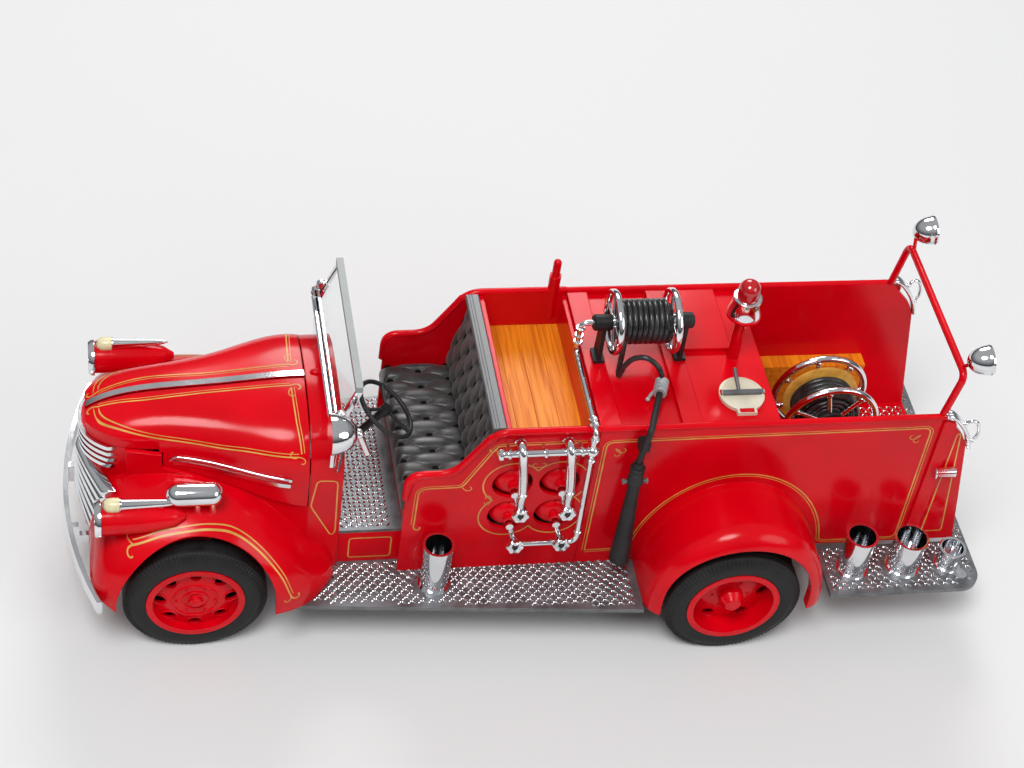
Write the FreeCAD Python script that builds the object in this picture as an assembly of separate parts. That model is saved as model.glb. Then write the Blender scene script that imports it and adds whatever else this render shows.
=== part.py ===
import FreeCAD, Part
import math
import os

# An open-cab fire engine as a 1:24 display model, in millimetres.
# The front points along -X, its left side is -Y, up is +Z.
# The origin is on the ground under the middle of the overall length.

os.makedirs("parts", exist_ok=True)

# Driving dimensions of the whole model
LENGTH = 246.4
HALF_LENGTH = LENGTH / 2
WHEELBASE = LENGTH * 0.5763
FRONT_AXLE_X = LENGTH * -0.36729
REAR_AXLE_X = FRONT_AXLE_X + WHEELBASE
TYRE_R = 18.6
TYRE_W = 7.4
RIM_R = 12.0
BODY_HALF = 26.0
FENDER_HALF = 40.0
REAR_FENDER_OUT = 20.0
REAR_HALF = BODY_HALF + REAR_FENDER_OUT
WALL = 1.2
BOARD_TOP = 17.5
BOARD_T = 1.4
FRAME_TOP = 20.4
FRAME_HALF = 13.0
RAIL_TOP = 69.6
DECK_TOP = 68.4
FLOOR_TOP = 30.0
BED_FLOOR = 21.6
COWL_X = LENGTH * -0.24959
TAIL_X = LENGTH * 0.48295
CLEAR = 0.3
FIT = 0.04
OVERRUN = 5.0
AXLE_Z = TYRE_R


def vec(x, y, z):
    """A point or a direction."""
    return FreeCAD.Vector(x, y, z)


def export(name, shape):
    """Write one named sub-part."""
    shape.exportStep("parts/" + name + ".step")


def box(x0, x1, y0, y1, z0, z1):
    """A block between two corners."""
    return Part.makeBox(x1 - x0, y1 - y0, z1 - z0, vec(x0, y0, z0))


def rod(start, end, radius):
    """A round bar from one point to another."""
    run = end.sub(start)
    return Part.makeCylinder(radius, run.Length, start, run)


def cone(start, end, radius, end_radius):
    """A tapered round bar."""
    run = end.sub(start)
    return Part.makeCone(radius, end_radius, run.Length, start, run)


def ball(centre, radius):
    """A sphere."""
    return Part.makeSphere(radius, centre)


def mirrored(shape):
    """The same shape on the other side of the centre plane."""
    return shape.mirror(vec(0, 0, 0), vec(0, 1, 0))


def joined(shapes):
    """One shape fused from several."""
    first = shapes[0]
    if len(shapes) == 1:
        return first
    return first.fuse(shapes[1:]).removeSplitter()


def gathered(shapes):
    """Separate solids of one node."""
    solids = []
    for shape in shapes:
        solids.extend(shape.Solids)
    return Part.makeCompound(solids)


def outline(points):
    """A closed face through corner points."""
    return Part.Face(Part.makePolygon(points + [points[0]]))


def side_prism(points, y0, y1):
    """A side outline of (x, z) corners, pushed across from y0 to y1."""
    return outline([vec(x, y0, z) for x, z in points]).extrude(vec(0, y1 - y0, 0))


def plan_prism(points, z0, z1):
    """A plan outline of (x, y) corners, pushed up from z0 to z1."""
    return outline([vec(x, y, z0) for x, y in points]).extrude(vec(0, 0, z1 - z0))


def cross_prism(points, x0, x1):
    """A cross outline of (y, z) corners, pushed along from x0 to x1."""
    return outline([vec(x0, y, z) for y, z in points]).extrude(vec(x1 - x0, 0, 0))


def curve(points):
    """A smooth edge through points."""
    spline = Part.BSplineCurve()
    spline.interpolate(points)
    return spline.toShape()


def swept(path_edges, radius):
    """A round bar along a chain of edges."""
    wire = Part.Wire(path_edges)
    first = wire.OrderedEdges[0]
    start = first.valueAt(first.FirstParameter)
    tangent = first.tangentAt(first.FirstParameter)
    ring = Part.Wire(Part.Edge(Part.Circle(start, tangent, radius)))
    return wire.makePipeShell([ring], True, True)


def bent(points, radius, bend):
    """A round bar through corner points, with each corner bent to one radius."""
    edges = []
    last = points[0]
    for corner, after in zip(points[1:-1], points[2:]):
        into = corner.sub(last).normalize()
        out = after.sub(corner).normalize()
        half = into.getAngle(out) / 2
        back = bend * math.tan(half)
        begin = corner.sub(vec(*into).multiply(back))
        end = corner.add(vec(*out).multiply(back))
        middle = begin.add(end).multiply(0.5)
        inward = middle.sub(corner).normalize()
        reach = bend / math.cos(half) - bend
        crown = corner.add(inward.multiply(reach))
        edges.append(Part.makeLine(last, begin))
        edges.append(Part.Arc(begin, crown, end).toShape())
        last = end
    edges.append(Part.makeLine(last, points[-1]))
    return swept(edges, radius)


def turned(profile, start, axis):
    """A closed (along, radius) outline turned about an axis through start."""
    corners = [vec(along, radius, 0) for along, radius in profile]
    solid = outline(corners).revolve(vec(0, 0, 0), vec(1, 0, 0), 360)
    turn = FreeCAD.Rotation(vec(1, 0, 0), axis)
    solid.Placement = FreeCAD.Placement(start, turn)
    return solid


# Chassis frame: two rails, crossmembers and outriggers, black
RAIL_W = 3.0
FRAME_FRONT_X = LENGTH * -0.44643
FRAME_REAR_X = TAIL_X + CLEAR
STEP_X = LENGTH * -0.24351
STEP_RUN = 4.0
REAR_FRAME_BOTTOM = 14.4
FRONT_FRAME_BOTTOM = 16.4
CROSS_W = 5.0
CROSS_H = 3.0
CROSSMEMBERS = 6
OUTRIGGER_W = 4.0
OUTRIGGERS = 3
SCREW_R = 1.25
SCREW_DEPTH = 5.0
SCREW_BOSS_R = 3.2
SCREW_FRONT_X = LENGTH * -0.17045
SCREW_REAR_X = LENGTH * 0.34903
HOUSING_R = 1.8
SPRING_W = 3.0
SPRING_HALF_L = 12.5
SHACKLE_L = 2.4
EYE_LEAF_R = 0.9
BOARD_IN_FRONT = BODY_HALF * 0.84615
BOARD_FRONT_X = LENGTH * -0.27435
BOARD_OUT_FRONT = FENDER_HALF * 0.9
BOARD_OUT_REAR = REAR_HALF * 0.94348


def spring_y():
    """The inner face of the springs, beside the rails."""
    return FRAME_HALF + CLEAR


def shackles(axle_x, spring_end_z):
    """Blocks that carry both ends of a pair of springs on the rails."""
    blocks = []
    for side in (-1, 1):
        x = axle_x + side * SPRING_HALF_L
        half = SHACKLE_L / 2
        outer = spring_y() + SPRING_W
        low = spring_end_z - LEAF_T * LEAVES / 2 + EYE_LEAF_R
        block = box(x - half, x + half, FRAME_HALF - RAIL_W, outer, low, FRAME_TOP)
        blocks.append(block)
        blocks.append(mirrored(block))
    return blocks


def chassis():
    """The whole frame in one casting, with two screw bosses below."""
    side = [
        (FRAME_FRONT_X, FRONT_FRAME_BOTTOM),
        (STEP_X, FRONT_FRAME_BOTTOM),
        (STEP_X + STEP_RUN, REAR_FRAME_BOTTOM),
        (FRAME_REAR_X, REAR_FRAME_BOTTOM),
        (FRAME_REAR_X, FRAME_TOP),
        (FRAME_FRONT_X, FRAME_TOP),
    ]
    rail = side_prism(side, FRAME_HALF - RAIL_W, FRAME_HALF)
    pieces = [rail, mirrored(rail)]
    pitch = (FRAME_REAR_X - FRAME_FRONT_X - CROSS_W) / (CROSSMEMBERS - 1)
    for index in range(CROSSMEMBERS):
        x = FRAME_FRONT_X + index * pitch
        pieces.append(box(x, x + CROSS_W, -FRAME_HALF, FRAME_HALF, FRAME_TOP - CROSS_H, FRAME_TOP))
    span = (FENDER_MID_X - REAR_FENDER_HALF_L - BOARD_FRONT_X) / (OUTRIGGERS + 1)
    for index in range(OUTRIGGERS):
        x = BOARD_FRONT_X + (index + 1) * span
        half = OUTRIGGER_W / 2
        top = BOARD_TOP - BOARD_T
        pieces.append(box(x - half, x + half, -BOARD_OUT_FRONT, BOARD_OUT_FRONT, REAR_FRAME_BOTTOM, top))
    for x in (SCREW_FRONT_X, SCREW_REAR_X):
        half = SCREW_BOSS_R
        web = box(x - half, x + half, -FRAME_HALF, FRAME_HALF, FRAME_TOP - CROSS_H, FRAME_TOP)
        pieces.append(web)
        pieces.append(rod(vec(x, 0, REAR_FRAME_BOTTOM), vec(x, 0, FRAME_TOP), SCREW_BOSS_R))
    pieces.extend(shackles(REAR_AXLE_X, REAR_SPRING_END_Z))
    pieces.extend(shackles(FRONT_AXLE_X, FRONT_SPRING_END_Z))
    frame = joined(pieces)
    for x in (SCREW_FRONT_X, SCREW_REAR_X):
        mouth = vec(x, 0, REAR_FRAME_BOTTOM - OVERRUN)
        frame = frame.cut(rod(mouth, vec(x, 0, REAR_FRAME_BOTTOM + SCREW_DEPTH), SCREW_R))
    saddle = rod(vec(REAR_AXLE_X, -BODY_HALF, AXLE_Z), vec(REAR_AXLE_X, BODY_HALF, AXLE_Z), HOUSING_R + CLEAR)
    return frame.cut(saddle)


# Axles with their leaf springs, black
BEAM_TOP = 15.6
BEAM_H = 2.2
BEAM_W = 2.4
KINGPIN_Y = FENDER_HALF * 0.6
KINGPIN_R = 1.0
BOSS_R = 2.0
BOSS_H = 4.6
BEAM_DROP_Y = 17.4
LEAF_T = 0.8
LEAVES = 2
FRONT_SPRING_END_Z = 19.2
REAR_SPRING_END_Z = 18.0
BANJO_R = 4.6
HOUSING_HALF = 28.0
SHAFT_R = 1.5


def leaf_spring(axle_x, seat_z, end_z):
    """One pack of curved leaves, lying on a seat at the axle."""
    rise = LEAF_T * LEAVES
    low = Part.Arc(
        vec(axle_x - SPRING_HALF_L, 0, end_z - rise),
        vec(axle_x, 0, seat_z),
        vec(axle_x + SPRING_HALF_L, 0, end_z - rise),
    ).toShape()
    high = Part.Arc(
        vec(axle_x + SPRING_HALF_L, 0, end_z),
        vec(axle_x, 0, seat_z + rise),
        vec(axle_x - SPRING_HALF_L, 0, end_z),
    ).toShape()
    ends = [
        Part.makeLine(vec(axle_x + SPRING_HALF_L, 0, end_z - rise), vec(axle_x + SPRING_HALF_L, 0, end_z)),
        Part.makeLine(vec(axle_x - SPRING_HALF_L, 0, end_z), vec(axle_x - SPRING_HALF_L, 0, end_z - rise)),
    ]
    face = Part.Face(Part.Wire([low, ends[0], high, ends[1]]))
    pack = face.extrude(vec(0, SPRING_W, 0))
    pack.translate(vec(0, spring_y(), 0))
    return pack


def spring_pair(axle_x, seat_z, end_z, pad_z):
    """Both packs of one axle, with an eye at each end and a pad at the axle."""
    pieces = []
    pack = leaf_spring(axle_x, seat_z, end_z)
    for side in (-1, 1):
        x = axle_x + side * SPRING_HALF_L
        z = end_z - LEAF_T * LEAVES / 2
        start = vec(x, spring_y(), z)
        pieces.append(rod(start, start.add(vec(0, SPRING_W, 0)), EYE_LEAF_R))
    half = BEAM_W / 2
    low = min(pad_z, seat_z)
    top = max(pad_z, seat_z + LEAF_T)
    pieces.append(box(axle_x - half, axle_x + half, spring_y(), spring_y() + SPRING_W, low, top))
    pack = pack.fuse(pieces)
    return [pack, mirrored(pack)]


def front_axle():
    """A dropped beam with a boss for each kingpin."""
    x0 = FRONT_AXLE_X - BEAM_W / 2
    x1 = FRONT_AXLE_X + BEAM_W / 2
    boss_low = AXLE_Z - BOSS_H / 2
    boss_top = AXLE_Z + BOSS_H / 2
    half = [
        (0, BEAM_TOP - BEAM_H),
        (BEAM_DROP_Y, BEAM_TOP - BEAM_H),
        (KINGPIN_Y - YOKE_R - CLEAR * 2, boss_low + CLEAR),
        (KINGPIN_Y, boss_low + CLEAR),
        (KINGPIN_Y, boss_low + BEAM_H),
        (KINGPIN_Y - YOKE_R * 2, boss_low + BEAM_H),
        (BEAM_DROP_Y - BEAM_H / 2, BEAM_TOP),
        (0, BEAM_TOP),
    ]
    arm = cross_prism(half, x0, x1)
    boss = rod(vec(FRONT_AXLE_X, KINGPIN_Y, boss_low), vec(FRONT_AXLE_X, KINGPIN_Y, boss_top), BOSS_R)
    springs = spring_pair(FRONT_AXLE_X, BEAM_TOP + LEAF_T / 2, FRONT_SPRING_END_Z, BEAM_TOP - BEAM_H / 2)
    beam = joined([arm, mirrored(arm), boss, mirrored(boss)] + springs)
    bore = rod(
        vec(FRONT_AXLE_X, KINGPIN_Y, boss_low - OVERRUN),
        vec(FRONT_AXLE_X, KINGPIN_Y, boss_top + OVERRUN),
        KINGPIN_R + FIT,
    )
    return beam.cut(bore).cut(mirrored(bore))


def banjo():
    """The differential bulge over the middle, flat on top under the body floor."""
    bulge = Part.makeSphere(BANJO_R, vec(0, 0, AXLE_Z), vec(0, 1, 0))
    return bulge.common(box(-BANJO_R, BANJO_R, -BANJO_R, BANJO_R, AXLE_Z - BANJO_R, FRAME_TOP))


def rear_axle_housing():
    """A tube round the rear shaft, with the differential and the springs, made at the middle and moved back."""
    tube = rod(vec(0, -HOUSING_HALF, AXLE_Z), vec(0, HOUSING_HALF, AXLE_Z), HOUSING_R)
    seat_z = AXLE_Z - HOUSING_R - LEAF_T * LEAVES - CLEAR
    housing = joined([tube, banjo()] + spring_pair(0, seat_z, REAR_SPRING_END_Z, AXLE_Z))
    bore = rod(
        vec(0, -HOUSING_HALF - OVERRUN, AXLE_Z),
        vec(0, HOUSING_HALF + OVERRUN, AXLE_Z),
        SHAFT_R + FIT,
    )
    housing = housing.cut(bore)
    housing.translate(vec(REAR_AXLE_X, 0, 0))
    return housing


# Steering knuckles and tie rod, black
YOKE_T = 1.1
YOKE_R = 1.9
YOKE_GAP = 0.2
WEB_T = 1.2
SPINDLE_R = 1.2
SPINDLE_END_Y = FENDER_HALF * 0.815
ARM_BACK = 7.0
ARM_W = 2.0
STUD_R = 0.6
EYE_R = 1.3
EYE_H = 1.4
ROD_R = 0.6


def stud_point(z):
    """The centre of the left steering stud at a height."""
    return vec(FRONT_AXLE_X + ARM_BACK, -KINGPIN_Y, z)


def yoke_low():
    """The underside of the lower yoke arm."""
    return AXLE_Z - BOSS_H / 2 - YOKE_GAP - YOKE_T


def knuckle_left():
    """A yoke round the axle boss with its kingpin, spindle and steering arm."""
    boss_low = AXLE_Z - BOSS_H / 2
    boss_top = AXLE_Z + BOSS_H / 2
    low = yoke_low()
    top = boss_top + YOKE_GAP + YOKE_T
    web_in = -KINGPIN_Y - BOSS_R - CLEAR
    web_out = web_in - WEB_T
    x0 = FRONT_AXLE_X - YOKE_R
    x1 = FRONT_AXLE_X + YOKE_R
    pin = rod(vec(FRONT_AXLE_X, -KINGPIN_Y, low), vec(FRONT_AXLE_X, -KINGPIN_Y, top), KINGPIN_R)
    pieces = [pin]
    for z0, z1 in ((low, boss_low - YOKE_GAP), (boss_top + YOKE_GAP, top)):
        pieces.append(rod(vec(FRONT_AXLE_X, -KINGPIN_Y, z0), vec(FRONT_AXLE_X, -KINGPIN_Y, z1), YOKE_R))
        pieces.append(box(x0, x1, web_out, -KINGPIN_Y, z0, z1))
    pieces.append(box(x0, x1, web_out, web_in, low, top))
    spindle_end = vec(FRONT_AXLE_X, -SPINDLE_END_Y, AXLE_Z)
    pieces.append(rod(vec(FRONT_AXLE_X, web_in, AXLE_Z), spindle_end, SPINDLE_R))
    stud = stud_point(low)
    bar = plan_prism(
        [
            (FRONT_AXLE_X, -KINGPIN_Y - ARM_W / 2),
            (stud.x, stud.y - ARM_W / 2),
            (stud.x, stud.y + ARM_W / 2),
            (FRONT_AXLE_X, -KINGPIN_Y + ARM_W / 2),
        ],
        low,
        low + YOKE_T,
    )
    pieces.append(bar)
    pieces.append(rod(stud, vec(stud.x, stud.y, low + YOKE_T), ARM_W / 2))
    pieces.append(rod(vec(stud.x, stud.y, low + YOKE_T), vec(stud.x, stud.y, low - EYE_H - CLEAR), STUD_R))
    return joined(pieces)


def tie_rod():
    """A thin rod with an eye on each steering stud."""
    top = yoke_low() - YOKE_GAP
    low = top - EYE_H
    stud = stud_point(low)
    middle = (top + low) / 2
    eye = rod(stud, vec(stud.x, stud.y, top), EYE_R)
    link = rod(vec(stud.x, stud.y + EYE_R / 2, middle), vec(stud.x, -stud.y - EYE_R / 2, middle), ROD_R)
    hole = rod(vec(stud.x, stud.y, low - OVERRUN), vec(stud.x, stud.y, top + OVERRUN), STUD_R + FIT)
    whole = joined([eye, mirrored(eye), link])
    return whole.cut(hole).cut(mirrored(hole))


# Wheels: red discs in black tyres
FRONT_TYRE_Y = FENDER_HALF * 0.775
REAR_OUTER_Y = 41.3
REAR_INNER_Y = 33.0
BEAD_HALF = 3.2
FLANGE_R = 12.7
FLANGE_T = 0.5
RIM_T = 1.0
DISC_T = 0.9
HUB_R = 2.6
HUB_CAP_R = 2.0
HUB_CAP_L = 1.0
HUB_RING_R = 6.0
HUB_RING_T = 0.4
WHEEL_STUDS = 6
WHEEL_STUD_R = 0.4
WHEEL_STUD_PITCH_R = 4.9
WINDOWS = 8
WINDOW_R = 1.65
WINDOW_PITCH_R = 9.2
REAR_WINDOWS = 6
DISC_CROWN = 1.6
DISH_OUT = 1.2
REAR_HUB_R = 3.4
REAR_HUB_OUT = 4.0
GROOVE_W = 0.5
GROOVE_T = 0.4
TREAD_SHARE = 0.68
FACE_SHARE = 0.3
DISH_SHARE = 0.6
CAP_TAPER_SHARE = 0.8
HUB_TAPER_SHARE = 0.6
SHOULDER_SHARE = 0.90
SIDEWALL_SHARE = 0.55


def ring_points(count, radius, x, z):
    """Evenly spaced places on a circle in the side view."""
    places = []
    for index in range(count):
        angle = 2 * math.pi * index / count
        places.append((x + radius * math.cos(angle), z + radius * math.sin(angle)))
    return places


def tyre(x, y):
    """One tyre with rounded walls and two tread grooves, centred at y."""
    half = TYRE_W / 2
    tread = half * TREAD_SHARE
    depth = TYRE_R - RIM_R
    wall_r = RIM_R + depth * SIDEWALL_SHARE
    shoulder_r = RIM_R + depth * SHOULDER_SHARE
    right = [
        Part.makeLine(vec(-BEAD_HALF, RIM_R, 0), vec(BEAD_HALF, RIM_R, 0)),
        Part.Arc(
            vec(BEAD_HALF, RIM_R, 0), vec(half, wall_r, 0), vec(tread, TYRE_R - GROOVE_T / 2, 0)
        ).toShape(),
    ]
    groove = GROOVE_W / 2
    third = tread / 2
    steps = [(tread, TYRE_R - GROOVE_T / 2), (tread - GROOVE_W, TYRE_R)]
    for centre in (third, -third):
        steps.append((centre + groove, TYRE_R))
        steps.append((centre + groove, TYRE_R - GROOVE_T))
        steps.append((centre - groove, TYRE_R - GROOVE_T))
        steps.append((centre - groove, TYRE_R))
    steps.append((-tread + GROOVE_W, TYRE_R))
    steps.append((-tread, TYRE_R - GROOVE_T / 2))
    crown = Part.makePolygon([vec(a, b, 0) for a, b in steps]).Edges
    left = Part.Arc(
        vec(-tread, TYRE_R - GROOVE_T / 2, 0), vec(-half, wall_r, 0), vec(-BEAD_HALF, RIM_R, 0)
    ).toShape()
    face = Part.Face(Part.Wire(right + crown + [left]))
    solid = face.revolve(vec(0, 0, 0), vec(1, 0, 0), 360)
    turn = FreeCAD.Rotation(vec(1, 0, 0), vec(0, 1, 0))
    solid.Placement = FreeCAD.Placement(vec(x, y, AXLE_Z), turn)
    return solid.cut(barrel(x, y))


def barrel(x, y):
    """The rim without its disc: a drum with a flange at each end."""
    edge = BEAD_HALF + FLANGE_T
    profile = [
        (-edge, RIM_R - RIM_T),
        (edge, RIM_R - RIM_T),
        (edge, FLANGE_R),
        (BEAD_HALF, FLANGE_R),
        (BEAD_HALF, RIM_R),
        (-BEAD_HALF, RIM_R),
        (-BEAD_HALF, FLANGE_R),
        (-edge, FLANGE_R),
    ]
    return turned(profile, vec(x, y, AXLE_Z), vec(0, 1, 0))


def wheel_studs(x, y0, y1):
    """Wheel studs that stand out of a disc."""
    places = ring_points(WHEEL_STUDS, WHEEL_STUD_PITCH_R, x, AXLE_Z)
    return [rod(vec(px, y0, pz), vec(px, y1, pz), WHEEL_STUD_R) for px, pz in places]


def rim_front_left():
    """A domed disc with rounded windows near the rim, and a blind hub bore."""
    x = FRONT_AXLE_X
    y = -FRONT_TYRE_Y
    inner_r = RIM_R - RIM_T / 2
    face_y = BEAD_HALF * FACE_SHARE
    disc = [
        (face_y, inner_r),
        (face_y - DISC_T, inner_r),
        (face_y + DISC_CROWN - DISC_T, HUB_RING_R),
        (face_y + DISC_CROWN - DISC_T, 0),
        (face_y + DISC_CROWN, 0),
        (face_y + DISC_CROWN, HUB_RING_R),
    ]
    out = vec(0, -1, 0)
    centre = vec(x, y, AXLE_Z)
    ring_out = face_y + DISC_CROWN
    hub_in = -(FRONT_TYRE_Y - KINGPIN_Y - BOSS_R - WEB_T - CLEAR * 2)
    cap_end = ring_out + HUB_CAP_L
    cap = [(ring_out, 0), (ring_out, HUB_CAP_R), (cap_end, HUB_CAP_R * CAP_TAPER_SHARE), (cap_end, 0)]
    pieces = [
        barrel(x, y),
        turned(disc, centre, out),
        turned([(hub_in, 0), (hub_in, HUB_R), (ring_out, HUB_R), (ring_out, 0)], centre, out),
        turned(cap, centre, out),
    ]
    front = y - ring_out
    pieces.extend(wheel_studs(x, front + DISC_T / 2, front - HUB_RING_T))
    wheel = joined(pieces)
    for px, pz in ring_points(WINDOWS, WINDOW_PITCH_R, x, AXLE_Z):
        wheel = wheel.cut(rod(vec(px, y - BEAD_HALF, pz), vec(px, y + BEAD_HALF, pz), WINDOW_R))
    bore = rod(
        vec(x, y + TYRE_W, AXLE_Z),
        vec(x, -SPINDLE_END_Y - CLEAR, AXLE_Z),
        SPINDLE_R + FIT,
    )
    return wheel.cut(bore)


def dual_rims(side):
    """Two rims back to back with one deep dished disc, on one side of the axle."""
    x = REAR_AXLE_X
    out = vec(0, side, 0)
    start = vec(x, 0, AXLE_Z)
    dish = REAR_OUTER_Y - BEAD_HALF * DISH_SHARE
    inner_r = RIM_R - RIM_T / 2
    disc = [
        (dish, inner_r),
        (dish - DISC_T, inner_r),
        (dish - DISC_T + DISH_OUT, HUB_RING_R),
        (dish - DISC_T + DISH_OUT, 0),
        (dish + DISH_OUT, 0),
        (dish + DISH_OUT, HUB_RING_R),
    ]
    hub_out = dish + DISH_OUT
    hub = [
        (HOUSING_HALF + CLEAR, 0),
        (HOUSING_HALF + CLEAR, REAR_HUB_R),
        (hub_out + REAR_HUB_OUT / 2, REAR_HUB_R),
        (hub_out + REAR_HUB_OUT, REAR_HUB_R * HUB_TAPER_SHARE),
        (hub_out + REAR_HUB_OUT, 0),
    ]
    inner_dish = REAR_INNER_Y + BEAD_HALF
    inner_disc = [
        (inner_dish, inner_r),
        (inner_dish - DISC_T, inner_r),
        (inner_dish - DISC_T, 0),
        (inner_dish, 0),
    ]
    pieces = [
        barrel(x, side * REAR_OUTER_Y),
        barrel(x, side * REAR_INNER_Y),
        turned(disc, start, out),
        turned(inner_disc, start, out),
        turned(hub, start, out),
    ]
    face = side * hub_out
    pieces.extend(wheel_studs(x, face - side * DISC_T / 2, face + side * HUB_RING_T))
    wheel = joined(pieces)
    window_end = side * (REAR_OUTER_Y + TYRE_W)
    for px, pz in ring_points(REAR_WINDOWS, WINDOW_PITCH_R, x, AXLE_Z):
        wheel = wheel.cut(rod(vec(px, side * inner_dish, pz), vec(px, window_end, pz), WINDOW_R))
    return wheel


def rear_wheels():
    """The rear shaft with both pairs of rims on it."""
    reach = REAR_OUTER_Y - BEAD_HALF * DISH_SHARE
    shaft = rod(vec(REAR_AXLE_X, -reach, AXLE_Z), vec(REAR_AXLE_X, reach, AXLE_Z), SHAFT_R)
    return joined([shaft, dual_rims(-1), dual_rims(1)])


def rear_tyres():
    """Two tyres on each side of the rear axle."""
    tyres = []
    for y in (REAR_INNER_Y, REAR_OUTER_Y):
        tyres.append(tyre(REAR_AXLE_X, y))
        tyres.append(tyre(REAR_AXLE_X, -y))
    return gathered(tyres)


# Front body: nose, both fenders and headlight pods, red
NOSE_FRONT_X = LENGTH * -0.4789
NOSE_BACK_X = LENGTH * -0.40179
NOSE_HALF = 13.0
NOSE_LOW = 16.8
NOSE_LOW_HALF = 8.5
NOSE_TOP = 54.0
FENDER_FRONT_X = LENGTH * -0.47484
FENDER_REAR_X = LENGTH * -0.21916
FENDER_TOP = 48.0
FENDER_IN = 10.0
FENDER_SKIN = 1.4
FENDER_ROUND = 2.7
ARCH_R = 20.3
ARCH_TOP = 42.6
WHEELHOUSE_R = 22.3
WHEELHOUSE_IN = 16.6
COWL_HALF = BODY_HALF * 0.89231
BAY_TOP_FRONT = 49.5
BAY_TOP_REAR = 41.6
BAY_STEP_X = LENGTH * -0.39894
BAY_WALL = 1.3
POD_Y = FENDER_HALF * 0.7125
POD_Z = 46.4
POD_R = 4.3
POD_FRONT_X = LENGTH * -0.46266
POD_L = 21.0
POD_TAIL_R = 0.8
# Fender stations: share of the length, of the height above its foot, of the half width, of the foot drop
FENDER_SHARES = [
    (0.00, 0.34, 0.78, 0.32),
    (0.03, 0.62, 0.88, 0.20),
    (0.10, 0.82, 0.95, 0.10),
    (0.22, 0.95, 0.99, 0.0),
    (0.38, 1.00, 1.00, 0.0),
    (0.54, 0.97, 1.00, 0.0),
    (0.68, 0.84, 0.985, 0.0),
    (0.80, 0.62, 0.945, 0.0),
    (0.91, 0.36, 0.85, 0.0),
    (1.00, 0.10, 0.66, 0.0),
]
ROUND_STEPS = 8
FENDER_SIDE_SHARE = 0.12
BAY_FRONT_SHARE = 0.4
PROW_SHARES = [(0.0, 0.0), (0.06, 0.42), (0.26, 0.74), (0.62, 0.94), (1.0, 1.0)]


def round_corner(y0, z0, y1, z1, power):
    """Points from (y0, z1) round to (y1, z0) on a superellipse quarter."""
    points = []
    for index in range(ROUND_STEPS + 1):
        turn = math.pi / 2 * index / ROUND_STEPS
        across = abs(math.sin(turn)) ** (2 / power)
        up = abs(math.cos(turn)) ** (2 / power)
        points.append((y0 + (y1 - y0) * across, z0 + (z1 - z0) * up))
    return points


def fender_section(x, half, foot, crown, power):
    """A closed fender section at one place along the body."""
    shoulder_z = foot + (crown - foot) * FENDER_SIDE_SHARE
    corner = round_corner(FENDER_IN, shoulder_z, half, crown, power)
    top = [vec(x, -y, z) for y, z in corner]
    edges = [
        Part.makeLine(vec(x, -FENDER_IN, foot), vec(x, -FENDER_IN, crown)),
        curve(top),
        Part.makeLine(vec(x, -half, shoulder_z), vec(x, -half, foot)),
        Part.makeLine(vec(x, -half, foot), vec(x, -FENDER_IN, foot)),
    ]
    return Part.Wire(edges)


def fender_form():
    """The left pontoon fender as one smooth solid."""
    length = FENDER_REAR_X - FENDER_FRONT_X
    wires = []
    for along, up, wide, lift in FENDER_SHARES:
        height = FENDER_TOP - BOARD_TOP
        foot = BOARD_TOP + height * lift
        crown = max(BOARD_TOP + height * up, foot + WALL)
        x = FENDER_FRONT_X + length * along
        wires.append(fender_section(x, FENDER_HALF * wide, foot, crown, FENDER_ROUND))
    return Part.makeLoft(wires, True, False)


def prow_plan(grow):
    """The rounded plan of the nose, grown outward by a thickness."""
    length = NOSE_BACK_X - NOSE_FRONT_X
    right = []
    for along, wide in PROW_SHARES:
        right.append(vec(NOSE_FRONT_X - grow + (length + grow) * along, (NOSE_HALF + grow) * wide, 0))
    left = [vec(p.x, -p.y, 0) for p in reversed(right[1:])]
    front = curve(left + right)
    back = Part.makeLine(right[-1], left[0])
    return Part.Face(Part.Wire([front, back]))


def prow(grow, z0, z1):
    """The nose plan pushed up between two levels."""
    face = prow_plan(grow)
    face.translate(vec(0, 0, z0))
    return face.extrude(vec(0, 0, z1 - z0))


def bay_plan(inset):
    """The plan of the engine bay between the fenders, from the nose to the cowl."""
    nose = NOSE_HALF - inset
    rear = COWL_HALF - inset
    front_x = NOSE_BACK_X - POD_L * BAY_FRONT_SHARE
    return [(front_x, -nose), (COWL_X, -rear), (COWL_X, rear), (front_x, nose)]


def headlight_pod():
    """The left headlight's bullet shell, lying along the fender."""
    profile = [(0, 0), (0, POD_R)]
    for index in range(1, ROUND_STEPS + 1):
        share = index / ROUND_STEPS
        radius = POD_TAIL_R + (POD_R - POD_TAIL_R) * math.sqrt(1 - share ** 2)
        profile.append((POD_L * share, radius))
    profile.append((POD_L, 0))
    return turned(profile, vec(POD_FRONT_X, -POD_Y, POD_Z), vec(1, 0, 0))


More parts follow.
